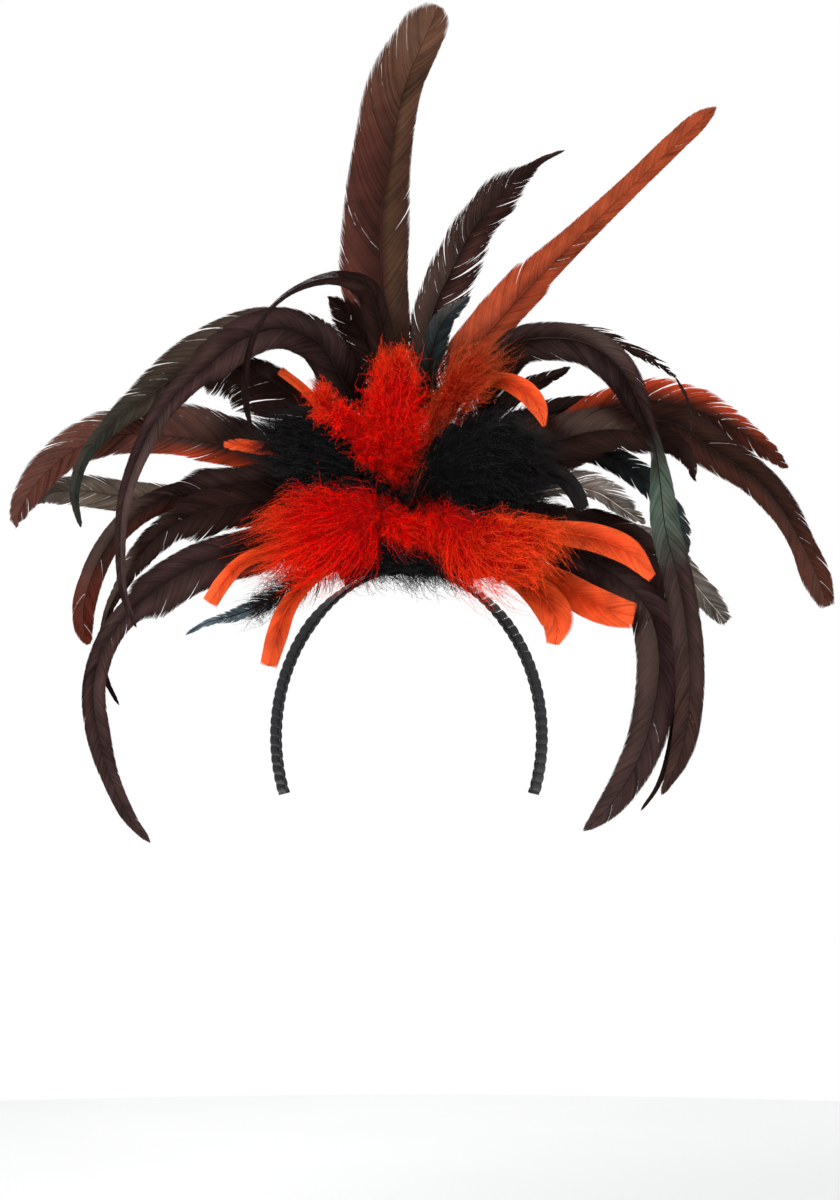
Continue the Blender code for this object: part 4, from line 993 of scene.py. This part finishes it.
def lay_fluff(course, count, look, spread_of, draw):
    """Downy fibres from the heart of a plume, swept to its tip in locks, with their side hairs."""
    locks = max(count // look.per_lock, 1)
    lock_at = draw.uniform(*LOCKS_ALONG, locks) * course.length
    lock_turn = draw.uniform(0.0, 2.0 * math.pi, locks)
    lock_fuzz = draw.gamma(FUZZ_EVENNESS, look.fuzz * spread_of.fuzz / FUZZ_EVENNESS, locks)
    lock = draw.integers(0, locks, count)
    root = lock_at[lock] + draw.normal(0.0, LOCK_SPREAD, count)
    turn = lock_turn[lock] + draw.normal(0.0, LOCK_TURN, count)
    spread = draw.uniform(*REACHES, count)
    wisp = draw.random(count) < look.wisps
    fuzz = lock_fuzz[lock] * draw.uniform(*FUZZES, count) + wisp * draw.uniform(*WISP_FUZZES, count)
    fuzz = np.minimum(fuzz, FUZZ_LIMIT) + spread_of.swell
    sweep = (look.sweep * read_course(course, root).wide + LEAST_SWEEP) * draw.uniform(*SWEEPS, count)
    sweep = sweep * (1.0 + WISP_SWEEP * wisp)

    u = np.linspace(0.0, 1.0, FIBRE_STEPS + 1)[None, :]
    on = root[:, None] + sweep[:, None] * u ** SWEEP_BOW
    spot = read_course(course, on)
    out = spread[:, None] * np.sin(0.5 * math.pi * u) ** REACH_BOW
    radial = spot.left * (np.cos(turn)[:, None] * (spot.wide + fuzz[:, None]))[..., None]
    radial += spot.face * (np.sin(turn)[:, None] * (spot.deep + fuzz[:, None]))[..., None]
    middle = spot.point + radial * out[..., None]
    wave = draw.normal(0.0, 1.0, (count, 2))
    bend = np.sin(u * math.pi * draw.uniform(*WAVES, count)[:, None]) * u * look.curl
    middle += spot.left * (wave[:, :1] * bend)[..., None] + spot.along * (wave[:, 1:] * bend)[..., None]
    drift = u ** 2 * (draw.uniform(0.0, 1.0, count) * (1.0 + WISP_DRIFT * wisp))[:, None]
    middle[..., 0] += spread_of.drift_x * drift
    middle[..., 2] += (spread_of.drift_z - look.droop) * drift

    tangent = unit(np.gradient(middle, axis=1))
    flat = unit(np.cross(tangent, draw.normal(0.0, 1.0, (count, 3))[:, None, :]))
    half = look.rib * (1.0 - RIB_TAPER * u) * np.ones((count, 1))
    strand = draw.random(locks)[lock] * LOCK_SHADE + draw.random(count) * (1.0 - LOCK_SHADE)
    uv_u = np.broadcast_to(u, on.shape)
    ribs = lay_ribbons(middle, flat, half, uv_u, on / course.length, strand)
    return [ribs, side_hairs(middle, tangent, root / course.length, wisp, look, strand, draw)]


def draw_heart(stem, head, swell):
    """The dense heart of a plume on its stem: rings with soft lumps, closed at both ends."""
    rings = []
    for course, share, end, stations in (
            (stem, 1.0, 1.0, STEM_RINGS), (head, HEART_SHARE, HEART_END, HEART_STATIONS)):
        at = np.linspace(0.0, course.length * end, stations)
        spot = read_course(course, at)
        for i in range(stations):
            more = (swell - HEART_CLOSING * i / stations) * (course is head)
            ring = []
            for side in range(HEART_SIDES):
                turn = 2.0 * math.pi * side / HEART_SIDES
                lump = 1.0 + HEART_LUMPS * math.sin(LUMPS_ROUND * turn + LUMP_TWIST * i) * (course is head)
                offset = spot.left[i] * math.cos(turn) * (spot.wide[i] + more)
                offset = offset + spot.face[i] * math.sin(turn) * (spot.deep[i] + 0.5 * more)
                ring.append(Vector((spot.point[i] + offset * share * lump) * MM))
            rings.append(ring)
    return extrude_rings(rings)


def make_plume(plume, sizes, colours):
    """One fluffy plume: a stem, a dense heart and thousands of downy fibres."""
    down = plume.spread.down or plume.slot
    look = FLUFF[down]
    draw = np.random.default_rng(sum(plume.name.encode()))
    stem, head, whole = plume_courses(plume)
    radius = np.sqrt((whole.table[:, WIDTHS:] ** 2).sum(axis=1) / 2.0).mean()
    area = whole.length * 2.0 * math.pi * radius
    count = int(np.clip(area * look.density * sizes.fluff_density, FEWEST_FIBRES, MOST_FIBRES))
    blocks = lay_fluff(whole, count, look, plume.spread, draw)
    finish = fluff_finish(down, colours)
    obj = add_strands(plume.name + "_piece", blocks, [finish])
    join_solid(obj, draw_heart(stem, head, plume.spread.swell), finish)
    settle(obj, plume.name)


def linear(code):
    """An sRGB hex code as linear red, green, blue and alpha."""
    parts = []
    for i in (0, 2, 4):
        value = int(code[i:i + 2], 16) / 255.0
        low = value / 12.92
        high = ((value + 0.055) / 1.055) ** 2.4
        parts.append(low if value <= 0.04045 else high)
    return (*parts, 1.0)


def add_node(tree, kind, inputs=(), **settings):
    """Add one node with its settings, and set its inputs or link them to a node or socket."""
    node = tree.nodes.new("ShaderNode" + kind)
    for name, value in settings.items():
        setattr(node, name, value)
    for key, value in inputs.items() if isinstance(inputs, dict) else enumerate(inputs):
        if isinstance(value, bpy.types.Node):
            value = value.outputs[0]
        if isinstance(value, bpy.types.NodeSocket):
            tree.links.new(value, node.inputs[key])
        else:
            node.inputs[key].default_value = value
    return node


def start_material(name):
    """A material, new or emptied to be made again, its node tree and a spot's place on the piece."""
    made = bpy.data.materials.get(name) or bpy.data.materials.new(name)
    made.use_nodes = True
    tree = made.node_tree
    tree.nodes.clear()
    return made, tree, add_node(tree, "TexCoord").outputs["Object"]


def close_material(made, sockets):
    """Give a material its shader, with the constants and links that its sockets take."""
    shader = add_node(made.node_tree, "BsdfPrincipled", sockets)
    add_node(made.node_tree, "OutputMaterial", [shader])
    return made


def dye_share(colours, dye):
    """How far the chosen colour of a dye is from its first one, for red, green and blue."""
    first = linear(DYES[dye].code)
    return [chosen / part for chosen, part in zip(getattr(colours, dye), first)]


def dyed(code, share):
    """A hex code's linear colour, shifted as its dye is."""
    return (*[min(part * shift, 1.0) for part, shift in zip(linear(code), share)], 1.0)


def set_ramp(node, stops, share=(1.0, 1.0, 1.0)):
    """Fill a colour ramp with (place, hex code) stops, shifted as their dye is."""
    points = node.color_ramp.elements
    while len(points) < len(stops):
        points.new(0.5)
    for point, (place, code) in zip(points, stops):
        point.position = place
        point.color = dyed(code, share)
    return node


def uv_ways(tree):
    """How far across and how far along its feather or plume a spot lies."""
    uv = add_node(tree, "UVMap", uv_map="vane")
    return add_node(tree, "SeparateXYZ", [uv]).outputs[:2]


def vary_strands(tree, place, colour, lumps, span, lightness):
    """Make a colour lighter and darker from strand to strand and in patches: the eye reads hairs."""
    strand = add_node(tree, "Attribute", attribute_name="strand").outputs["Fac"]
    mottle = add_node(tree, "TexNoise", {"Vector": place, "Scale": lumps, "Detail": 3.0})
    shade = add_node(tree, "Math", [strand, mottle], operation="ADD")
    value = add_node(tree, "MapRange", [shade, *span, *lightness])
    return strand, add_node(tree, "HueSaturation", {"Value": value, "Color": colour})


def vane_finish(name, colours):
    """Dyed cock's feather, keratin barbs that lie side by side: satin, with a fine combed gloss."""
    made, tree, place = start_material(name + "_vane")
    look = VANE_LOOKS[name]
    share = dye_share(colours, look.dye)
    across, along = uv_ways(tree)
    across = add_node(tree, "MapRange", [across, -1.0, 1.0, 1.0, 0.0])
    # Across the vane: its own colours, with a painted highlight that makes the middle of each vane lighter
    stops = list(zip((0.0, *look.places, 1.0), look.colours.split()))
    colour = set_ramp(add_node(tree, "ValToRGB", [across]), stops, share)
    tip_span = [look.tip_from + step for step in TIP_FADE]
    towards = [
        (add_node(tree, "MapRange", [along, *tip_span, 0.0, 1.0]), look.tip),
        (add_node(tree, "MapRange", [along, *FOOT_FADE, 1.0, 0.0]), look.foot),
    ]
    # A band along the vane that is a painted green sheen
    if look.band:
        start, full, end, code = look.band
        painted_sheen = add_node(tree, "ValToRGB", [along])
        set_ramp(painted_sheen, [(start, "000000"), (full, "ffffff"), (end, "000000")])
        towards.append((painted_sheen, code))
    for factor, code in towards:
        mix = {0: factor, 6: colour, 7: dyed(code, share)}
        colour = add_node(tree, "Mix", mix, data_type="RGBA").outputs[2]
    strand, toned = vary_strands(tree, place, colour, VANE_LUMPS, *VANE_SHADES)
    rough_span = [look.rough + step for step in ROUGH_SWAY]
    gloss = add_node(tree, "MapRange", [strand, 0.0, 1.0, *rough_span])
    return close_material(made, {
        "Base Color": toned, "Roughness": gloss,
        "Specular IOR Level": 0.11, "Specular Tint": linear(KERATIN_TINT),
        "Anisotropic": 0.55, "Anisotropic Rotation": 0.25,
        "Tangent": add_node(tree, "Tangent", direction_type="UV_MAP", uv_map="vane"),
    })


def shaft_finish(kind):
    """Feather shaft, a horny tube that tapers: smooth keratin with a soft polish and faint mottle."""
    made, tree, place = start_material(kind + "_feather_shaft")
    light, dark, rough = SHAFT_LOOKS[kind]
    mottle = add_node(tree, "TexNoise", {"Vector": place, "Scale": SHAFT_LUMPS, "Detail": 4.0})
    return close_material(made, {
        "Base Color": set_ramp(add_node(tree, "ValToRGB", [mottle]), [(0.35, dark), (0.62, light)]),
        "Normal": add_node(tree, "Bump", {"Height": mottle, "Distance": 0.0001, "Strength": 0.4}),
        "Roughness": rough, "IOR": 1.54,
        "Specular IOR Level": 0.12, "Specular Tint": linear(KERATIN_TINT),
    })


def fluff_finish(down, colours):
    """Marabou down, dyed: matt and soft, bright at the heart and thin and duller at the tips."""
    made, tree, place = start_material(down.replace("fluff", "marabou_down"))
    look = FLUFF[down]
    share = dye_share(colours, look.dye)
    out, along = uv_ways(tree)
    colour = set_ramp(add_node(tree, "ValToRGB", [out]), look.colours, share)
    to_end = add_node(tree, "MapRange", [along, look.end_from, 1.0, 0.0, look.end_share])
    mix = {0: to_end, 6: colour, 7: dyed(look.end, share)}
    colour = add_node(tree, "Mix", mix, data_type="RGBA").outputs[2]
    _, toned = vary_strands(tree, place, colour, DOWN_LUMPS, *DOWN_SHADES)
    return close_material(made, {"Base Color": toned, "Roughness": 0.85, "Specular IOR Level": 0.06})


def ribbon_finish(colours):
    """Satin ribbon, woven polyester: glossy black, with a fine weave across each wrap."""
    made, tree, place = start_material("black_satin_ribbon")
    # The fine threads of satin, about 20 to the mm along the band
    threads = add_node(
        tree, "TexWave",
        {"Vector": add_node(tree, "UVMap", uv_map="wrap"), "Scale": 6.0, "Distortion": 0.6, "Detail": 2.0},
        wave_type="BANDS", bands_direction="X")
    creases = add_node(tree, "TexNoise", {"Vector": place, "Scale": RIBBON_CREASES, "Detail": 3.0})
    height = add_node(tree, "Math", [threads.outputs[1], creases], operation="ADD")
    colour = add_node(tree, "ValToRGB", [creases])
    return close_material(made, {
        "Base Color": set_ramp(colour, [(0.3, "040405"), (0.7, "0a0a0d")], dye_share(colours, "ribbon")),
        "Normal": add_node(tree, "Bump", {"Height": height, "Distance": 0.00005, "Strength": 0.4}),
        "Roughness": 0.10, "Specular IOR Level": 0.38,
    })


def felt_finish(colours):
    """Wool felt, pressed: matt black with a tangle of short fibres."""
    made, tree, place = start_material("pressed_black_felt")
    tangle = add_node(tree, "TexNoise", {
        "Vector": place, "Scale": FELT_TANGLE, "Detail": 6.0, "Roughness": 0.7, "Distortion": 1.5})
    clouds = add_node(tree, "TexNoise", {"Vector": place, "Scale": FELT_CLOUDS, "Detail": 2.0})
    height = add_node(tree, "Math", [tangle, clouds], operation="ADD")
    colour = add_node(tree, "ValToRGB", [tangle])
    return close_material(made, {
        "Base Color": set_ramp(colour, [(0.3, "0a0a0b"), (0.7, "1e1e20")], dye_share(colours, "felt")),
        "Normal": add_node(tree, "Bump", {"Height": height, "Distance": 0.0004, "Strength": 0.7}),
        "Roughness": 0.92,
        "Sheen Weight": 0.5, "Sheen Roughness": 0.6, "Sheen Tint": linear("5a5a60"),
    })


def floor_finish(colours):
    """Matt white paint, with a haze so faint that the floor reads as even."""
    made, tree, place = start_material("matt_white_floor_paint")
    haze = add_node(tree, "TexNoise", {"Vector": place, "Scale": FLOOR_HAZE, "Detail": 2.0})
    colour = add_node(tree, "ValToRGB", [haze])
    set_ramp(colour, [(0.3, "f4f4f3"), (0.7, "f8f8f7")], dye_share(colours, "floor"))
    return close_material(made, {"Base Color": colour, "Roughness": 0.8})


def band_point(turn):
    """Middle of the band at an angle up from its right-hand side, in mm."""
    middle_z = -(BAND_RISE - BAND_THICKNESS / 2) * math.cos(math.radians(BAND_STEP / 2))
    x = BAND_HALF_SPAN * math.cos(turn)
    y = BAND_LEAN * (1.0 - math.sin(turn))
    z = middle_z + BAND_RISE * math.sin(turn)
    return Vector((x, y, z))


def band_ring(degrees, run, sizes):
    """One section of the wound band: each wrap of ribbon bulges and overlaps the one before."""
    turn = math.radians(degrees)
    along = Vector((-BAND_HALF_SPAN * math.sin(turn), 0.0, BAND_RISE * math.cos(turn)))
    outward = Vector((0.0, 1.0, 0.0)).cross(along).normalized()
    from_crown = max(abs(degrees - 90.0) - BAND_FLAT_CROWN, 0.0)
    tilt = math.radians(BAND_TILT * min(from_crown / BAND_TILT_RUN, 1.0))
    rear = Vector((0.0, math.cos(tilt), 0.0)) + outward * math.sin(tilt)
    face = outward * math.cos(tilt) - Vector((0.0, math.sin(tilt), 0.0))
    middle = band_point(turn)
    pitch = sizes.ribbon_pitch / MM
    relief = sizes.ribbon_relief / MM
    ring = []
    for side in range(BAND_SIDES):
        round_turn = 2.0 * math.pi * side / BAND_SIDES
        across = math.copysign(abs(math.cos(round_turn)) ** BAND_ROUNDNESS, math.cos(round_turn))
        up = math.copysign(abs(math.sin(round_turn)) ** BAND_ROUNDNESS, math.sin(round_turn))
        phase = (run / pitch - side / BAND_SIDES) % 1.0
        swell = WRAP_BULGE * math.sin(math.pi * phase) ** WRAP_FULLNESS
        bulge = relief * (swell + WRAP_STEP * phase)
        bulge -= WRAP_SINK * relief
        width = BAND_WIDTH / 2 - EDGE_INSET + bulge
        thick = BAND_THICKNESS / 2 - FACE_INSET + bulge
        ring.append((middle + rear * across * width + face * up * thick) * MM)
    return ring


def wind_band(sizes, colours):
    """The band, wound with ribbon from end to end."""
    dense = np.radians(np.linspace(BAND_FROM, BAND_TO, BAND_SAMPLES))
    length = running_length(np.array([band_point(turn) for turn in dense]))
    count = round(length[-1] / (sizes.ribbon_pitch / MM) * STEPS_PER_WRAP)
    runs = np.linspace(0.0, length[-1], count + 1)
    turns = np.degrees(np.interp(runs, length, dense))
    bm = extrude_rings([band_ring(turn, run, sizes) for turn, run in zip(turns, runs)])
    wraps = bm.loops.layers.uv.new("wrap")
    bm.verts.ensure_lookup_table()
    for face in bm.faces:
        for loop in face.loops:
            ring, side = divmod(loop.vert.index, BAND_SIDES)
            loop[wraps].uv = (runs[min(ring, count)], side / BAND_SIDES)
        face.smooth = True
    mesh = mesh_of(bm, "headband_piece")
    mesh.materials.append(ribbon_finish(colours))
    settle(place_object("headband_piece", mesh), "headband")


def felt_outline():
    """The outline of the backing, its foot along the band and its top a round arch, in mm."""
    outline = []
    foot_turn = math.acos(FELT_HALF_WIDTH / BAND_HALF_SPAN)
    for step in range(FELT_ARC_STEPS + 1):
        turn = foot_turn + (math.pi - 2 * foot_turn) * step / FELT_ARC_STEPS
        foot = band_point(turn)
        outline.append((foot.x, foot.z + BAND_THICKNESS / 2 + FELT_BAND_CLEARANCE))
    for step in range(FELT_ARC_STEPS + 1):
        turn = math.pi - math.pi * step / FELT_ARC_STEPS
        rise = (FELT_TOP - FELT_SHOULDER) * math.sin(turn)
        outline.append((FELT_HALF_WIDTH * math.cos(turn), FELT_SHOULDER + rise))
    return outline


def inside(spot, outline):
    """Whether a spot lies inside an outline."""
    x, z = spot
    hit = False
    for (x0, z0), (x1, z1) in zip(outline, outline[1:] + outline[:1]):
        if (z0 > z) != (z1 > z) and x < (x1 - x0) * (z - z0) / (z1 - z0) + x0:
            hit = not hit
    return hit


def lay_nap(outline):
    """The nap of the felt, short fibres that lean every way on both of its faces."""
    draw = np.random.default_rng(NAP_SEED)
    spots = draw.uniform(np.min(outline, axis=0), np.max(outline, axis=0), (NAP_SPOTS, 2))
    spots = spots[[inside(spot, outline) for spot in spots]]
    count = len(spots)
    side = draw.choice([-1.0, 1.0], count)
    root = np.stack([spots[:, 0], side * FELT_THICKNESS / 2, spots[:, 1]], axis=-1)
    lean = draw.normal(0.0, 1.0, (count, 3))
    lean[:, 1] = side * np.abs(lean[:, 1]) * NAP_RISE
    tip = root + unit(lean) * draw.uniform(*NAP_LENGTHS, (count, 1))
    flat = unit(np.cross(tip - root, (0.0, 1.0, 0.0))) * NAP_HALF_WIDTH
    nap = np.stack([root + flat, root - flat, tip], axis=1)
    return Block(nap, [(0, 1, 2)], np.zeros((count, 3, 2)), draw.random(count), 0)


def cut_felt(colours):
    """The backing, a cut plate of felt with soft edges and a nap of short fibres."""
    outline = felt_outline()
    bm = bmesh.new()
    front = bm.faces.new([bm.verts.new((x * MM, -FELT_THICKNESS / 2 * MM, z * MM)) for x, z in outline])
    rim = list(front.edges)
    made = bmesh.ops.extrude_face_region(bm, geom=[front], use_keep_orig=True)["geom"]
    back = [item for item in made if isinstance(item, bmesh.types.BMVert)]
    rim += [item for item in made if isinstance(item, bmesh.types.BMEdge)]
    bmesh.ops.translate(bm, vec=(0.0, FELT_THICKNESS * MM, 0.0), verts=back)
    bmesh.ops.bevel(
        bm, geom=rim, offset=FELT_BEVEL * MM, segments=FELT_BEVEL_STEPS, profile=0.5,
        affect="EDGES", material=-1)
    bmesh.ops.recalc_face_normals(bm, faces=bm.faces)
    finish = felt_finish(colours)
    obj = add_strands("felt_backing_piece", [lay_nap(outline)], [finish])
    join_solid(obj, bm, finish)
    settle(obj, "felt_backing")


def aimed(place, aim):
    """The placing of a lamp or camera that stands at one place and looks at another."""
    place = Vector(place)
    way = Vector(aim) - place
    return Matrix.Translation(place) @ way.to_track_quat("-Z", "Y").to_matrix().to_4x4()


def light_room():
    """An even white room, brighter to the camera than to the headband."""
    world = bpy.data.worlds.new("white_studio")
    world.use_nodes = True
    bpy.context.scene.world = world
    tree = world.node_tree
    tree.nodes.clear()
    seen = add_node(tree, "Background", {"Color": linear("ffffff"), "Strength": 1.0})
    soft = add_node(tree, "Background", {"Color": linear("f3f5f8"), "Strength": ROOM_LIGHT})
    by_eye = add_node(tree, "LightPath").outputs["Is Camera Ray"]
    add_node(tree, "OutputWorld", [add_node(tree, "MixShader", [by_eye, soft, seen])])


def light_stage(colours):
    """A plain pale floor well below the headband, soft light round it, and the camera."""
    bm = bmesh.new()
    bmesh.ops.create_circle(bm, cap_ends=True, segments=FLOOR_SIDES, radius=FLOOR_RADIUS)
    bmesh.ops.translate(bm, vec=(0.0, 0.0, FLOOR_Z), verts=bm.verts)
    floor = place_object("studio_floor", mesh_of(bm, "studio_floor"))
    floor.data.materials.append(floor_finish(colours))

    for name, place, aim, size, power in STUDIO_LIGHTS:
        lamp = bpy.data.lights.new(name, "AREA")
        lamp.shape = "RECTANGLE"
        lamp.size, lamp.size_y = size
        lamp.energy = power
        place_object(name, lamp).matrix_world = aimed(place, aim)
    light_room()

    lens = bpy.data.cameras.new("picture_camera")
    lens.sensor_fit = "VERTICAL"
    lens.sensor_height = CAMERA_SENSOR
    lens.lens = CAMERA_LENS
    lens.clip_start = 0.05
    camera = place_object("picture_camera", lens)
    camera.matrix_world = aimed(CAMERA_PLACE, (CAMERA_PLACE[0], 0.0, CAMERA_PLACE[2]))
    bpy.context.scene.camera = camera
    bpy.context.scene.view_settings.view_transform = "Standard"


def colour_choice(dye):
    """A colour that the user may change, with the dye's first colour as its default."""
    label, description, code = DYES[dye]
    return FloatVectorProperty(
        name=label, description=description, default=linear(code)[:3], min=0.0, max=1.0,
        subtype="COLOR")


class HeadbandSizes(bpy.types.PropertyGroup):
    """Sizes of the ribbon, the barbs and the down."""

    ribbon_pitch: FloatProperty(
        name="Ribbon Pitch", description="Step from one wrap of ribbon to the next",
        default=0.0054, min=0.002, max=0.02, unit="LENGTH")
    ribbon_relief: FloatProperty(
        name="Ribbon Relief", description="How far a wrap of ribbon stands out",
        default=0.0009, min=0.0, max=0.002, unit="LENGTH")
    barb_spacing: FloatProperty(
        name="Barb Spacing", description="Step between barbs, as a share of each kind's own",
        default=1.0, min=0.5, max=3.0, subtype="FACTOR")
    barb_cover: FloatProperty(
        name="Barb Cover", description="Width of a barb as a share of its step",
        default=1.9, min=0.5, max=3.0, subtype="FACTOR")
    fluff_density: FloatProperty(
        name="Fluff Density", description="Number of downy fibres, as a share of each plume's own",
        default=1.0, min=0.1, max=1.5, subtype="FACTOR")


class HeadbandColours(bpy.types.PropertyGroup):
    """Colours of the down, the feathers, the ribbon, the felt and the floor."""

    red_down: colour_choice("red_down")
    orange_down: colour_choice("orange_down")
    black_down: colour_choice("black_down")
    dark_feather: colour_choice("dark_feather")
    brown_feather: colour_choice("brown_feather")
    rust_feather: colour_choice("rust_feather")
    olive_feather: colour_choice("olive_feather")
    gray_feather: colour_choice("gray_feather")
    orange_flat: colour_choice("orange_flat")
    ribbon: colour_choice("ribbon")
    felt: colour_choice("felt")
    floor: colour_choice("floor")


def set_feathers(context, wanted):
    """Make every feather whose name starts in one of the wanted ways."""
    scene = context.scene
    for feather in FEATHERS:
        if feather.name.startswith(wanted):
            make_feather(feather, scene.headband_sizes, scene.headband_colours)


class HEADBAND_OT_wind_band(bpy.types.Operator):
    """Wind the band with ribbon"""

    bl_idname = "headband.wind_band"
    bl_label = "Wind Band"

    def execute(self, context):
        wind_band(context.scene.headband_sizes, context.scene.headband_colours)
        return {"FINISHED"}


class HEADBAND_OT_cut_felt(bpy.types.Operator):
    """Cut the felt backing"""

    bl_idname = "headband.cut_felt"
    bl_label = "Cut Felt"

    def execute(self, context):
        cut_felt(context.scene.headband_colours)
        return {"FINISHED"}


class HEADBAND_OT_set_uprights(bpy.types.Operator):
    """Set the upright quills and the small green feather at their foot"""

    bl_idname = "headband.set_uprights"
    bl_label = "Set Upright Feathers"

    def execute(self, context):
        set_feathers(context, ("upright_", "green_"))
        return {"FINISHED"}


class HEADBAND_OT_set_left_tail(bpy.types.Operator):
    """Set the tail feathers on the left"""

    bl_idname = "headband.set_left_tail"
    bl_label = "Set Left Tail Feathers"

    def execute(self, context):
        set_feathers(context, ("left_",))
        return {"FINISHED"}


class HEADBAND_OT_set_right_tail(bpy.types.Operator):
    """Set the tail feathers and the trimmed black flat on the right"""

    bl_idname = "headband.set_right_tail"
    bl_label = "Set Right Tail Feathers"

    def execute(self, context):
        set_feathers(context, ("right_",))
        return {"FINISHED"}


class HEADBAND_OT_set_flats(bpy.types.Operator):
    """Set the trimmed orange flats"""

    bl_idname = "headband.set_flats"
    bl_label = "Set Orange Flats"

    def execute(self, context):
        set_feathers(context, ("orange_flat",))
        return {"FINISHED"}


class HEADBAND_OT_fluff_plumes(bpy.types.Operator):
    """Make the fluffy plumes"""

    bl_idname = "headband.fluff_plumes"
    bl_label = "Fluff Plumes"

    def execute(self, context):
        scene = context.scene
        for plume in PLUMES:
            make_plume(plume, scene.headband_sizes, scene.headband_colours)
        return {"FINISHED"}


class HEADBAND_OT_light_stage(bpy.types.Operator):
    """Lay the floor, set the lamps and place the camera"""

    bl_idname = "headband.light_stage"
    bl_label = "Light Stage"

    def execute(self, context):
        light_stage(context.scene.headband_colours)
        return {"FINISHED"}


STEPS = (
    "wind_band", "cut_felt", "set_uprights", "set_left_tail", "set_right_tail", "set_flats",
    "fluff_plumes", "light_stage",
)


class HEADBAND_PT_panel(bpy.types.Panel):
    """The steps of making the headband, with its sizes and colours."""

    bl_label = "Feather Headband"
    bl_idname = "HEADBAND_PT_panel"
    bl_space_type = "VIEW_3D"
    bl_region_type = "UI"
    bl_category = "Headband"

    def draw(self, context):
        layout = self.layout
        for group in (context.scene.headband_sizes, context.scene.headband_colours):
            for name in group.__annotations__:
                layout.prop(group, name)
        for step in STEPS:
            layout.operator("headband." + step)


CLASSES = (
    HeadbandSizes, HeadbandColours, HEADBAND_OT_wind_band, HEADBAND_OT_cut_felt,
    HEADBAND_OT_set_uprights, HEADBAND_OT_set_left_tail, HEADBAND_OT_set_right_tail,
    HEADBAND_OT_set_flats, HEADBAND_OT_fluff_plumes, HEADBAND_OT_light_stage, HEADBAND_PT_panel,
)


def register():
    for cls in CLASSES:
        bpy.utils.register_class(cls)
    bpy.types.Scene.headband_sizes = PointerProperty(type=HeadbandSizes)
    bpy.types.Scene.headband_colours = PointerProperty(type=HeadbandColours)


def unregister():
    del bpy.types.Scene.headband_colours
    del bpy.types.Scene.headband_sizes
    for cls in reversed(CLASSES):
        bpy.utils.unregister_class(cls)


def main():
    register()
    for step in STEPS:
        getattr(bpy.ops.headband, step)()


if __name__ == "__main__":
    main()
